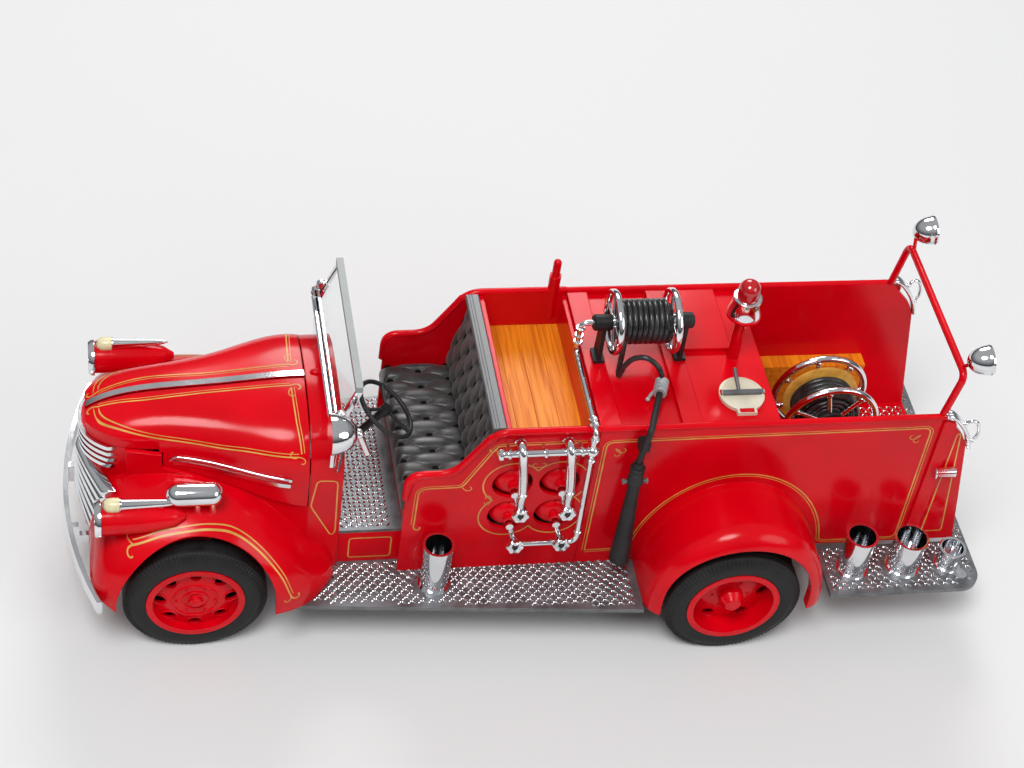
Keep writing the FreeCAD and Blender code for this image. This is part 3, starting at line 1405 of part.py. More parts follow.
# Bottle piping on the left side, chrome
PIPE_R = 0.75
PIPE_OUT = 3.2
PIPE_Y = BODY_HALF + PIPE_OUT
MANIFOLD_Z = 65.4
MANIFOLD_FRONT_X = LENGTH * -0.06088
VALVE_R = 1.5
VALVE_L = 1.6
VALVE_DROP = 6.2
VALVE_SHIFT = 1.9
FERRULE_R = 1.0
FEED_X = LENGTH * 0.03612
FEED_Z = 72.2
PIPE_BEND = 2.2
MANIFOLD_R = 1.0
FEED_BEND = 1.8


def piping():
    """A manifold over the bottles, with curved drops, valves, a link pipe and a feed to the reel."""
    y = -PIPE_Y
    neck_y = -(BODY_HALF + BOTTLE_INSET + BOTTLE_NECK_L)
    valve_y = y - VALVE_L
    pieces = [rod(vec(MANIFOLD_FRONT_X, y, MANIFOLD_Z), vec(FEED_X, y, MANIFOLD_Z), MANIFOLD_R)]
    for x in BOTTLE_XS:
        for z in (BOTTLE_TOP_Z, BOTTLE_LOW_Z):
            valve = vec(x + VALVE_SHIFT, valve_y, z - VALVE_DROP)
            pieces.append(rod(vec(x, neck_y, z), vec(x, neck_y - FERRULE_R * 2, z), FERRULE_R))
            elbow = [vec(x, neck_y - FERRULE_R, z), vec(valve.x, neck_y - FERRULE_R, valve.z), valve]
            pieces.append(bent(elbow, PIPE_R, PIPE_R))
            face = vec(0, VALVE_L / 2, 0)
            pieces.append(rod(valve.sub(face), valve.add(face), VALVE_R))
        drop = [
            vec(x, y, MANIFOLD_Z),
            vec(x, valve_y, MANIFOLD_Z - PIPE_BEND),
            vec(x + VALVE_SHIFT, valve_y, BOTTLE_TOP_Z - VALVE_DROP),
        ]
        pieces.append(bent(drop, PIPE_R, PIPE_BEND))
    link_z = BOTTLE_LOW_Z - VALVE_DROP
    link_front = vec(BOTTLE_XS[0] + VALVE_SHIFT, valve_y, link_z)
    link = [link_front, vec(FEED_X, valve_y, link_z), vec(FEED_X, y, MANIFOLD_Z)]
    pieces.append(bent(link, PIPE_R, PIPE_BEND))
    feed = [
        vec(FEED_X, y, MANIFOLD_Z - PIPE_BEND),
        vec(FEED_X, y, FEED_Z),
        vec(FEED_X, 0, FEED_Z),
        vec(FEED_X, 0, REEL_Z),
        vec(REEL_FRONT_X - CLEAR, 0, REEL_Z),
    ]
    pieces.append(bent(feed, PIPE_R, FEED_BEND))
    return joined(pieces)


# Hose reel on the deck: black stand, chrome flanges, black hose and horn
REEL_FRONT_X = LENGTH * 0.05844
REEL_SPAN = 22.9
REEL_REAR_X = REEL_FRONT_X + REEL_SPAN
REEL_Z = 82.3
FLANGE_INSET = 3.2
FLANGE_SPAN = 15.4
FLANGE_XS = (REEL_FRONT_X + FLANGE_INSET, REEL_FRONT_X + FLANGE_INSET + FLANGE_SPAN)
REEL_R = 8.6
REEL_RING_R = 0.6
REEL_SPOKES = 6
REEL_SPOKE_R = 0.4
REEL_HUB_R = 2.0
REEL_CORE_R = 1.6
COIL_R = 6.0
HOSE_R = 0.72
STAND_W = 5.0
STAND_T = 1.0
VALVE_X = LENGTH * 0.11932
VALVE_Y = BODY_HALF * 0.48077
VALVE_H = 4.4
VALVE_TOP_Z = 72.6
# The hose's arch: share of the way along, out towards the valve, of its height
ARCH_SHARES = [(0.08, 0.05, 0.45), (0.4, 0.35, 1.0), (0.8, 0.75, 0.8)]
HOSE_ARCH_H = 9.0
HORN_TOP_X = LENGTH * 0.08847
HORN_OUT = 3.2
HORN_TOP_Y = BODY_HALF + HORN_OUT
HORN_TOP_Z = 60.4
HORN_L = 36.0
HORN_LEAN_Y = 1.8
COLLAR_SHARE = 0.19
COLLAR_R = 2.3
PIN_HALF = 2.8
PIN_R = 0.5
CLIP_X = LENGTH * 0.09213
CLIP_Z = 65.4
HORN_TUBE_R = 0.85
BELL_SHARE = 0.5
MOUTH_SHARE = 0.02
HORN_TOP_R = 1.2
HORN_LOW_R = 2.8
TUBE_X = LENGTH * 0.09416
TUBE_Z = 72.0
BRACKET_L = 2.8


def reel_stand():
    """Two uprights on feet that hold the reel's shaft."""
    base = DECK_TOP + STRAP_H
    pieces = [rod(vec(REEL_FRONT_X, 0, REEL_Z), vec(REEL_REAR_X, 0, REEL_Z), REEL_CORE_R / 2)]
    for x, inward in ((REEL_FRONT_X, 1), (REEL_REAR_X, -1)):
        x0 = min(x, x + inward * STAND_T)
        x1 = max(x, x + inward * STAND_T)
        low = STAND_W / 2
        upright = [(-low, base), (low, base), (REEL_HUB_R, REEL_Z), (-REEL_HUB_R, REEL_Z)]
        pieces.append(cross_prism(upright, x0, x1))
        pieces.append(rod(vec(x0, 0, REEL_Z), vec(x1, 0, REEL_Z), REEL_HUB_R))
        pieces.append(box(x0 - STAND_T, x1 + STAND_T, -low, low, base, base + STAND_T))
    return joined(pieces)


def spoked_ring(x, radius, spokes):
    """A round-wire ring with spokes, in the plane across the body."""
    ring = Part.makeTorus(radius - REEL_RING_R, REEL_RING_R, vec(x, 0, REEL_Z), vec(1, 0, 0))
    pieces = [ring, rod(vec(x - REEL_RING_R, 0, REEL_Z), vec(x + REEL_RING_R, 0, REEL_Z), REEL_HUB_R)]
    reach = radius - REEL_RING_R
    for index in range(spokes):
        angle = 2 * math.pi * index / spokes
        end = vec(x, reach * math.cos(angle), REEL_Z + reach * math.sin(angle))
        pieces.append(rod(vec(x, 0, REEL_Z), end, REEL_SPOKE_R))
    core = rod(vec(x - OVERRUN, 0, REEL_Z), vec(x + OVERRUN, 0, REEL_Z), REEL_CORE_R / 2)
    return joined(pieces).cut(core)


def reel_flanges():
    """The reel's two spoked flanges."""
    return gathered([spoked_ring(x, REEL_R, REEL_SPOKES) for x in FLANGE_XS])


def hose():
    """The wound hose as one ribbed drum, with its tail to the valve on the deck."""
    start = FLANGE_XS[0] + REEL_RING_R
    end = FLANGE_XS[1] - REEL_RING_R
    turns = int((end - start) / (2 * HOSE_R))
    pitch = (end - start) / turns
    edges = []
    crown = COIL_R
    valley = COIL_R - HOSE_R
    edges.append(Part.makeLine(vec(start, REEL_CORE_R / 2, 0), vec(start, valley, 0)))
    for index in range(turns):
        x = start + index * pitch
        turn = Part.Arc(vec(x, valley, 0), vec(x + pitch / 2, crown, 0), vec(x + pitch, valley, 0))
        edges.append(turn.toShape())
    edges.append(Part.makeLine(vec(end, valley, 0), vec(end, REEL_CORE_R / 2, 0)))
    edges.append(Part.makeLine(vec(end, REEL_CORE_R / 2, 0), vec(start, REEL_CORE_R / 2, 0)))
    drum = Part.Face(Part.Wire(edges)).revolve(vec(0, 0, 0), vec(1, 0, 0), 360)
    drum.translate(vec(0, 0, REEL_Z))
    turn = vec(start + pitch, -COIL_R - HOSE_R, DECK_TOP + HOSE_R)
    drop = [
        vec(start + pitch, -COIL_R + HOSE_R * 2, REEL_Z - HOSE_R),
        vec(start + pitch, -COIL_R + HOSE_R, REEL_Z - COIL_R),
        turn,
    ]
    arch = [turn]
    for along, out, up in ARCH_SHARES:
        x = turn.x + (VALVE_X - turn.x) * along
        y = turn.y - (VALVE_Y + turn.y) * out
        arch.append(vec(x, y, turn.z + HOSE_ARCH_H * up))
    arch.append(vec(VALVE_X, -VALVE_Y, VALVE_TOP_Z))
    tails = [swept([curve(drop)], HOSE_R), swept([curve(arch)], HOSE_R), ball(turn, HOSE_R)]
    return joined([drum] + tails).cut(horn())


def horn():
    """The in-line valve, the tube over the rail, its clip and the cone horn outside the wall."""
    valve_top = vec(VALVE_X, -VALVE_Y, VALVE_TOP_Z)
    crossing = vec(TUBE_X, -HORN_TOP_Y, TUBE_Z)
    fall = crossing.sub(valve_top).normalize()
    valve_low = valve_top.add(vec(*fall).multiply(VALVE_H))
    top = vec(HORN_TOP_X, -HORN_TOP_Y, HORN_TOP_Z)
    mouth = vec(HORN_TOP_X, -HORN_TOP_Y - HORN_LEAN_Y, HORN_TOP_Z - HORN_L)
    run = top.sub(mouth)
    valve = rod(valve_top, valve_low, VALVE_R)
    tube = bent([valve_low, crossing, top], HORN_TUBE_R, PIPE_BEND)
    bell = cone(top, mouth, HORN_TOP_R, HORN_LOW_R)
    collar_foot = top.sub(vec(*run).multiply(COLLAR_SHARE))
    collar = cone(top, collar_foot, HORN_TOP_R, COLLAR_R)
    bore = cone(
        mouth.add(vec(*run).multiply(BELL_SHARE)),
        mouth.sub(vec(*run).multiply(MOUTH_SHARE)),
        (HORN_TOP_R + HORN_LOW_R) / 2 - WALL / 2,
        HORN_LOW_R - WALL / 3,
    )
    clip = box(
        CLIP_X - BRACKET_L / 2,
        CLIP_X + BRACKET_L / 2,
        -HORN_TOP_Y,
        -BODY_HALF,
        CLIP_Z - BRACKET_L / 2,
        CLIP_Z + BRACKET_L / 2,
    )
    pin_half = vec(PIN_HALF, 0, 0)
    pin = rod(collar_foot.sub(pin_half), collar_foot.add(pin_half), PIN_R)
    return joined([valve, tube, bell, collar, clip, pin]).cut(bore)


# Rear body: walls, deck, bed floor and fenders, red
BED_FRONT_X = LENGTH * 0.24188
WALL_REAR_TOP_X = LENGTH * 0.4233
WALL_KNEE_X = LENGTH * 0.45617
WALL_KNEE_Z = 58.6
WALL_REAR_LOW_X = TAIL_X
FENDER_MID_X = LENGTH * 0.21185
REAR_FENDER_HALF_L = 24.8
REAR_FENDER_TOP = 47.4
REAR_FENDER_ROUND = 6.0
LID_X = LENGTH * 0.20657
LID_Y = BODY_HALF * 0.56923
LID_R = 5.9
LID_T = 1.1
NECK_R = 4.6
NECK_DEPTH = 6.0
BEACON_X = LENGTH * 0.21104
POST_R = 1.6
POST_TOP = 84.0
STRAP_W = 5.4
STRAP_H = 1.3
STRAP_SHARES = (0.0, 0.505)
HATCH_Y = 1.9


def half_ellipse(half_l, height, y0, y1):
    """Half an ellipse on the board level, pushed across."""
    centre = vec(FENDER_MID_X, y0, BOARD_TOP)
    if height >= half_l:
        shape = Part.Ellipse(centre.add(vec(0, 0, height)), centre.add(vec(half_l, 0, 0)), centre)
    else:
        shape = Part.Ellipse(centre.add(vec(half_l, 0, 0)), centre.add(vec(0, 0, height)), centre)
    face = Part.Face(Part.Wire(shape.toShape()))
    solid = face.extrude(vec(0, y1 - y0, 0))
    reach = half_l + OVERRUN
    top = BOARD_TOP + height + OVERRUN
    return solid.common(box(FENDER_MID_X - reach, FENDER_MID_X + reach, y0, y1, BOARD_TOP, top))


def rear_fender():
    """The right rear fender: a rounded arch shell with an open wheel side."""
    height = REAR_FENDER_TOP - BOARD_TOP
    solid = half_ellipse(REAR_FENDER_HALF_L, height, BODY_HALF - WALL / 2, REAR_HALF)
    outer = [
        edge for edge in solid.Edges
        if edge.BoundBox.YMin > REAR_HALF - CLEAR and edge.BoundBox.ZMax > REAR_FENDER_TOP - CLEAR
    ]
    solid = solid.makeFillet(REAR_FENDER_ROUND, outer)
    skin = FENDER_SKIN
    hollow = half_ellipse(REAR_FENDER_HALF_L - skin, height - skin, 0, REAR_HALF - REAR_FENDER_ROUND / 2)
    arch_z = ARCH_TOP - ARCH_R
    arch = rod(vec(REAR_AXLE_X, BODY_HALF, arch_z), vec(REAR_AXLE_X, REAR_HALF + OVERRUN, arch_z), ARCH_R)
    under = box(
        REAR_AXLE_X - ARCH_R, REAR_AXLE_X + ARCH_R, BODY_HALF - WALL, REAR_HALF + OVERRUN, 0, arch_z
    )
    return solid.cut(hollow).cut(arch).cut(under)


def wall_roll():
    """The rolled rail along the right wall's top."""
    y = BODY_HALF - RAIL_ROLL / 3
    return rod(vec(DECK_FRONT_X + CLEAR / 3, y, RAIL_TOP), vec(WALL_REAR_TOP_X, y, RAIL_TOP), RAIL_ROLL)


def body_rear():
    """Two walls, the deck with its filler neck and beacon post, the bed and both fenders."""
    side = [
        (DECK_FRONT_X + CLEAR / 3, BOARD_TOP),
        (DECK_FRONT_X + CLEAR / 3, RAIL_TOP),
        (WALL_REAR_TOP_X, RAIL_TOP),
        (WALL_KNEE_X - PANEL_ROUND / 2, WALL_KNEE_Z + PANEL_ROUND),
        (WALL_KNEE_X, WALL_KNEE_Z),
        (WALL_REAR_LOW_X, BED_FLOOR - WALL),
        (WALL_REAR_LOW_X, FRAME_TOP),
        (FENDER_MID_X + REAR_FENDER_HALF_L, FRAME_TOP),
        (FENDER_MID_X + REAR_FENDER_HALF_L, BOARD_TOP),
    ]
    wall = side_prism(side, BODY_HALF - WALL, BODY_HALF)
    half = joined([wall, wall_roll(), rear_fender()])
    inner = BODY_HALF - WALL / 2
    front_x = DECK_FRONT_X + CLEAR / 3
    deck = box(front_x, BED_FRONT_X, -inner, inner, DECK_TOP - WALL, DECK_TOP)
    front = box(front_x, front_x + WALL, -inner, inner, FRAME_TOP, DECK_TOP)
    back = box(BED_FRONT_X - WALL, BED_FRONT_X, -inner, inner, FRAME_TOP, DECK_TOP)
    floor = box(BED_FRONT_X - WALL, WALL_REAR_LOW_X, -inner, inner, BED_FLOOR - WALL, BED_FLOOR)
    neck = rod(vec(LID_X, -LID_Y, DECK_TOP - NECK_DEPTH), vec(LID_X, -LID_Y, DECK_TOP), NECK_R + WALL)
    post = rod(vec(BEACON_X, 0, DECK_TOP - WALL), vec(BEACON_X, 0, POST_TOP), POST_R)
    straps = []
    for share in STRAP_SHARES:
        x = front_x + (BED_FRONT_X - front_x - STRAP_W) * share
        straps.append(box(x, x + STRAP_W, -inner, inner, DECK_TOP - CLEAR, DECK_TOP + STRAP_H))
    hatch = box(x + STRAP_W, BEACON_X, HATCH_Y, inner, DECK_TOP - CLEAR, DECK_TOP + STRAP_H)
    whole = joined([half, mirrored(half), deck, front, back, floor, neck, post, hatch] + straps)
    neck_floor = vec(LID_X, -LID_Y, DECK_TOP - NECK_DEPTH + WALL)
    whole = whole.cut(rod(neck_floor, vec(LID_X, -LID_Y, RAIL_TOP), NECK_R))
    tyre_room = [
        box(REAR_AXLE_X - ARCH_R, REAR_AXLE_X + ARCH_R, -BODY_HALF - WALL, BODY_HALF + WALL, 0, FRAME_TOP),
        box(DECK_FRONT_X - OVERRUN, WALL_REAR_LOW_X + OVERRUN, -FRAME_HALF, FRAME_HALF, 0, FRAME_TOP),
    ]
    return whole.cut(tyre_room)


# Beacon, fill lid and small rear fittings
COLLAR_LOW_R = 3.7
COLLAR_TOP_R = 3.2
COLLAR_H = 6.0
DOME_R = 2.9
DOME_H = 5.6
LID_HANDLE_L = 11.0
LID_HANDLE_R = 0.8
LID_LEVER_L = 5.3
LID_LEVER_RISE = 3.8
LID_LEVER_R = 0.5
LID_REACH = 7.0
LID_AXIS_Y = LID_Y + LID_REACH
LID_EAR = 2.6


def beacon():
    """A chrome collar on the post with a domed lens."""
    centre = vec(BEACON_X, 0, POST_TOP)
    top = vec(BEACON_X, 0, POST_TOP + COLLAR_H)
    collar = cone(centre, top, COLLAR_LOW_R, COLLAR_TOP_R)
    stub = rod(top, vec(top.x, 0, top.z + DOME_H - DOME_R), DOME_R)
    dome = ball(vec(top.x, 0, top.z + DOME_H - DOME_R), DOME_R)
    return joined([collar, stub, dome])


def fill_lid():
    """A round lid hinged at its left edge, with a bar handle on top."""
    low = DECK_TOP + CLEAR / 3
    disc = rod(vec(LID_X, -LID_Y, low), vec(LID_X, -LID_Y, low + LID_T), LID_R)
    bar_z = low + LID_T + LID_HANDLE_R / 2
    half = LID_HANDLE_L / 2
    bar = rod(vec(LID_X - half, -LID_Y, bar_z), vec(LID_X + half, -LID_Y, bar_z), LID_HANDLE_R)
    lever = rod(
        vec(LID_X - LID_HANDLE_R, -LID_Y, bar_z),
        vec(LID_X - LID_HANDLE_R * 2, -LID_Y + LID_LEVER_L, bar_z + LID_LEVER_RISE),
        LID_LEVER_R,
    )
    ear = box(LID_X - LID_EAR, LID_X + LID_EAR, -LID_AXIS_Y, -LID_Y - LID_R / 2, low, low + LID_T)
    return joined([disc, bar, lever, ear])


# Rear arch, lamps and handles
ARCH_X = LENGTH * 0.42776
ARCH_BAR_Z = 84.2
ARCH_TUBE_R = 1.0
ARCH_BEND = 2.5
LAMP_X = LENGTH * 0.44075
LAMP_Y = BODY_HALF * 0.95769
LAMP_Z = 89.2
LAMP_R = 3.0
LAMP_L = 5.0
HANDLE_OUT = 1.6
HANDLE_Y = BODY_HALF + HANDLE_OUT
HANDLE_R = 0.6
HANDLE_BEND = 0.9
MARKER_X = LENGTH * 0.43994
MARKER_Z = 49.8
MARKER_L = 5.6
MARKER_LAMP_R = 1.5


def rear_arch():
    """A bent tube over the bed, standing on both rails, with a stalk for each lamp."""
    y = BODY_HALF - RAIL_ROLL
    tube = bent(
        [
            vec(WALL_REAR_TOP_X - ARCH_TUBE_R, -y, RAIL_TOP + RAIL_ROLL / 2),
            vec(ARCH_X, -y, ARCH_BAR_Z),
            vec(ARCH_X, y, ARCH_BAR_Z),
            vec(WALL_REAR_TOP_X - ARCH_TUBE_R, y, RAIL_TOP + RAIL_ROLL / 2),
        ],
        ARCH_TUBE_R,
        ARCH_BEND,
    )
    stalk_end = vec(LAMP_X - LAMP_L / 2, LAMP_Y, LAMP_Z - LAMP_R / 3)
    stalk = rod(vec(ARCH_X, LAMP_Y - LAMP_R, ARCH_BAR_Z), stalk_end, ARCH_TUBE_R / 2)
    whole = joined([tube, stalk, mirrored(stalk)])
    for neighbour in (rear_lamp(), wall_roll()):
        whole = whole.cut(neighbour).cut(mirrored(neighbour))
    return whole


def rear_lamp():
    """The right rear spotlight: a chrome bowl that faces back."""
    profile = [(0, 0)]
    for index in range(1, ROUND_STEPS + 1):
        turn = math.pi / 2 * index / ROUND_STEPS
        profile.append((LAMP_L * (1 - math.cos(turn)), LAMP_R * math.sin(turn)))
    profile.append((LAMP_L, 0))
    return turned(profile, vec(LAMP_X - LAMP_L / 2, LAMP_Y, LAMP_Z), vec(1, 0, 0))


def rear_brightwork():
    """Both spotlights and a grab handle at each rear top corner."""
    grip = bent(
        [
            vec(WALL_REAR_TOP_X - HANDLE_R, BODY_HALF - WALL / 2, RAIL_TOP - RAIL_ROLL * 3),
            vec(WALL_REAR_TOP_X - HANDLE_R, HANDLE_Y + HANDLE_R * 2, RAIL_TOP - RAIL_ROLL * 3),
            vec(WALL_KNEE_X - HANDLE_R, HANDLE_Y + HANDLE_R * 2, WALL_KNEE_Z),
            vec(WALL_KNEE_X - HANDLE_R * 3, BODY_HALF - WALL / 2, WALL_KNEE_Z - HANDLE_R * 4),
        ],
        HANDLE_R,
        HANDLE_BEND,
    )
    outside = box(0, HALF_LENGTH, BODY_HALF, REAR_HALF, 0, RAIL_TOP)
    grip = grip.common(outside)
    lamp = rear_lamp()
    return gathered([lamp, mirrored(lamp), grip, mirrored(grip)])


def rear_markers():
    """A small marker lamp on each wall, facing back."""
    start = vec(MARKER_X - MARKER_L / 2, BODY_HALF + MARKER_LAMP_R, MARKER_Z)
    end = vec(MARKER_X + MARKER_L / 2, BODY_HALF + MARKER_LAMP_R, MARKER_Z)
    lamp = rod(start, end, MARKER_LAMP_R)
    return gathered([lamp, mirrored(lamp)])


# Rear reel: chrome spoked wheels round a hose drum, on two posts in the bed
REEL2_X = LENGTH * 0.33442
REEL2_Z = 47.4
REEL2_R = 13.4
REEL2_HALF = 6.0
REEL2_RING_R = 0.7
REEL2_SPOKES = 7
REEL2_SPOKE_R = 0.5
REEL2_HUB_R = 3.0
REEL2_SHAFT_R = 1.0
REEL2_SHAFT_HALF = 10.0
DRUM_R = 9.4
DRUM_HALF = 4.8
REEL_POST_W = 3.0
REEL_POST_T = 1.4


def rear_reel():
    """Two spoked wheels and hubs on one shaft."""
    half = REEL2_SHAFT_HALF
    reach = REEL2_R - REEL2_RING_R
    pieces = [rod(vec(REEL2_X, -half, REEL2_Z), vec(REEL2_X, half, REEL2_Z), REEL2_SHAFT_R)]
    for y in (-REEL2_HALF, REEL2_HALF):
        centre = vec(REEL2_X, y, REEL2_Z)
        face = vec(0, REEL2_RING_R, 0)
        pieces.append(Part.makeTorus(reach, REEL2_RING_R, centre, vec(0, 1, 0)))
        pieces.append(rod(centre.sub(face), centre.add(face), REEL2_HUB_R))
        for px, pz in ring_points(REEL2_SPOKES, reach, REEL2_X, REEL2_Z):
            pieces.append(rod(centre, vec(px, y, pz), REEL2_SPOKE_R))
    return joined(pieces)


def rear_hose():
    """The hose wound on the rear reel, with flat drum sides."""
    profile = [
        (-DRUM_HALF, REEL2_SHAFT_R),
        (-DRUM_HALF, DRUM_R),
        (DRUM_HALF, DRUM_R),
        (DRUM_HALF, REEL2_SHAFT_R),
    ]
    return turned(profile, vec(REEL2_X, 0, REEL2_Z), vec(0, 1, 0))


def reel_posts():
    """A post on each side of the rear reel, with a bearing hole for its shaft."""
    inner = REEL2_SHAFT_HALF - REEL_POST_T
    post = box(REEL2_X - REEL_POST_W, REEL2_X + REEL_POST_W, inner, REEL2_SHAFT_HALF, BED_FLOOR, REEL2_Z)
    head = rod(vec(REEL2_X, inner, REEL2_Z), vec(REEL2_X, REEL2_SHAFT_HALF, REEL2_Z), REEL_POST_W)
    hole = rod(vec(REEL2_X, 0, REEL2_Z), vec(REEL2_X, REAR_HALF, REEL2_Z), REEL2_SHAFT_R + FIT)
    post = joined([post, head]).cut(hole)
    return gathered([post, mirrored(post)])


# Running boards and tailboard, chrome tread plate
TAIL_TOP = 19.0
TAIL_T = 1.4
TAIL_GAP = 2.4
TAIL_FRONT_X = FENDER_MID_X + REAR_FENDER_HALF_L + TAIL_GAP
TAIL_HALF = REAR_HALF * 0.93478
TAIL_CORNER = 6.0
CUP_R = 4.8
# Each cup: share of the way along, of the widest mouth, of the tallest height
CUP_SHARES = ((0.183, 0.92, 1.0), (0.514, 1.0, 0.88), (0.813, 0.78, 0.52))
CUP_FOOT_SHARE = 0.86
CUP_Y = (BODY_HALF + TAIL_HALF) / 2
CUP_H = 14.2
CUP_T = 0.7
BOARD_CUP_X = LENGTH * -0.11323
BOARD_CUP_OUT = 5.4
BOARD_CUP_Y = BODY_HALF + BOARD_CUP_OUT
BOARD_CUP_R = 4.2
BOARD_CUP_H = 16.4


def running_boards():
    """A tapering board on each side between the fenders."""
    low = BOARD_TOP - BOARD_T
    rear_x = FENDER_MID_X - REAR_FENDER_HALF_L
    plan = [
        (BOARD_FRONT_X, BOARD_IN_FRONT),
        (BOARD_FRONT_X, BOARD_OUT_FRONT),
        (rear_x, BOARD_OUT_REAR),
        (rear_x, BOARD_IN_FRONT),
    ]
    board = plan_prism(plan, low, BOARD_TOP)
    return gathered([board, mirrored(board)])


def cup_places():
    """Each cup's place along the tailboard, its mouth radius and its height."""
    run = HALF_LENGTH - TAIL_FRONT_X
    return [(TAIL_FRONT_X + run * along, CUP_R * wide, CUP_H * tall) for along, wide, tall in CUP_SHARES]


def open_cup(foot, radius, height):
    """An open cup on a foot ring, wider at its mouth."""
    low = radius * CUP_FOOT_SHARE
    mouth = vec(foot.x, foot.y, foot.z + height)
    ring = rod(foot, vec(foot.x, foot.y, foot.z + CUP_T), radius)
    floor = vec(foot.x, foot.y, foot.z + CUP_T)
    return cone(foot, mouth, low, radius).fuse(ring).cut(cone(floor, mouth, low - CUP_T, radius - CUP_T))


def board_cups():
    """One tall cup on each running board, beside the seat panel."""
    cup = open_cup(vec(BOARD_CUP_X, BOARD_CUP_Y, BOARD_TOP), BOARD_CUP_R, BOARD_CUP_H)
    return gathered([cup, mirrored(cup)])


def tailboard():
    """A plate round the body's tail, with three open cups on each side."""
    low = TAIL_TOP - TAIL_T
    rear = HALF_LENGTH
    plate = box(TAIL_FRONT_X, rear, -TAIL_HALF, TAIL_HALF, low, TAIL_TOP)
    corners = [
        edge for edge in plate.Edges
        if edge.Length < TAIL_T + CLEAR and edge.CenterOfMass.x > rear - CLEAR
    ]
    plate = plate.makeFillet(TAIL_CORNER, corners)
    inside = WALL_REAR_LOW_X + CLEAR
    half = BODY_HALF + CLEAR / 3
    room = box(TAIL_FRONT_X - OVERRUN, inside, -half, half, 0, TAIL_TOP + OVERRUN)
    pieces = [plate.cut(room)]
    for x, radius, height in cup_places():
        cup = open_cup(vec(x, CUP_Y, TAIL_TOP), radius, height)
        pieces.extend([cup, mirrored(cup)])
    return joined(pieces)


# Engine, one plain block on the frame
ENGINE_FRONT_X = LENGTH * -0.40584
ENGINE_REAR_X = LENGTH * -0.27597
ENGINE_HALF = 5.6
ENGINE_TOP = 47.0


def engine():
    """A plain engine block that rests on the rails."""
    block = box(ENGINE_FRONT_X, ENGINE_REAR_X, -ENGINE_HALF, ENGINE_HALF, FRAME_TOP, ENGINE_TOP)
    feet_front = ENGINE_REAR_X - CROSS_W
    feet = box(feet_front, ENGINE_REAR_X, -FRAME_HALF, FRAME_HALF, FRAME_TOP, FRAME_TOP + CROSS_H)
    return joined([block, feet])


def main():
    """Write every sub-part."""
    left_tyre = tyre(FRONT_AXLE_X, -FRONT_TYRE_Y)
    left_rim = rim_front_left()
    left_knuckle = knuckle_left()
    left_hood = hood_left()
    left_moulding = moulding_left()
    nodes = {
        "chassis": chassis(),
        "front_axle": front_axle(),
        "rear_axle_housing": rear_axle_housing(),
        "knuckle_left": left_knuckle,
        "knuckle_right": mirrored(left_knuckle),
        "tie_rod": tie_rod(),
        "rim_front_left": left_rim,
        "rim_front_right": mirrored(left_rim),
        "tyre_front_left": left_tyre,
        "tyre_front_right": mirrored(left_tyre),
        "rear_wheels": rear_wheels(),
        "rear_tyres": rear_tyres(),
        "body_front": body_front(),
        "hood_left": left_hood,
        "hood_right": mirrored(left_hood),
        "moulding_left": left_moulding,
        "moulding_right": mirrored(left_moulding),
        "hood_strip": hood_strip(),
        "grille": grille(),
        "bumper": bumper(),
        "headlight_trim": headlight_trim(),
        "lamp_lenses": lamp_lenses(),
        "siren": siren(),
        "cowl": cowl(),
        "windshield_glass": windshield_glass(),
        "windshield_frame": windshield_frame(),
        "spotlight": spotlight(),
        "cab_floor": cab_floor(),
        "steering_column": steering_column(),
        "steering_wheel": steering_wheel(),
        "seat_cushion": seat_cushion(),
        "seat_back": seat_back(),
        "tub": tub(),
        "wood": wood(),
        "bottles": bottles(),
        "board_cups": board_cups(),
        "piping": piping(),
        "reel_stand": reel_stand(),
        "reel_flanges": reel_flanges(),
        "hose": hose(),
        "horn": horn(),
        "body_rear": body_rear(),
        "beacon": beacon(),
        "fill_lid": fill_lid(),
        "rear_arch": rear_arch(),
        "rear_brightwork": rear_brightwork(),
        "rear_markers": rear_markers(),
        "rear_reel": rear_reel(),
        "rear_hose": rear_hose(),
        "reel_posts": reel_posts(),
        "running_boards": running_boards(),
        "tailboard": tailboard(),
        "engine": engine(),
    }
    for name, shape in nodes.items():
        export(name, shape)


main()
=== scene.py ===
import math

import bmesh
import bpy
import numpy as np
from mathutils import Matrix


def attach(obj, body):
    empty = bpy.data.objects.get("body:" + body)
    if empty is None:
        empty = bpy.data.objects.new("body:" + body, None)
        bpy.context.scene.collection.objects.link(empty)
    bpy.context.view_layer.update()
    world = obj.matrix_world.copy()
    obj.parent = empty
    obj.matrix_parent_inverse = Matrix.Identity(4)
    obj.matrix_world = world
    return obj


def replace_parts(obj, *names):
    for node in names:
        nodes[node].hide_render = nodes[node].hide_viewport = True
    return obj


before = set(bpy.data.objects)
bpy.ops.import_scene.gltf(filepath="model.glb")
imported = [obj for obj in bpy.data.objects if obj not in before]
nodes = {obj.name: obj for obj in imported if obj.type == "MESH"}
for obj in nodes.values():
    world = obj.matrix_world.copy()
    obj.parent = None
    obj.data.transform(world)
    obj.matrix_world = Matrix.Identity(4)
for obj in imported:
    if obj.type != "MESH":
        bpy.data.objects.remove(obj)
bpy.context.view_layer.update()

# Camera.
# It stands high on the vehicle's left, a little ahead of its middle, and is turned slightly off level.
# Its place, tilt and lens were worked out from straight edges of the vehicle.
CAMERA_AT = (-118.9, -393.2, 467.7)
LOOK_DOWN = math.radians(44.88)
LOOK_ROUND = math.radians(-15.93)
LEAN = math.radians(9.56)
LENS = 77.2
SENSOR = 36.0
NEAREST = 0.01
MM = 0.001

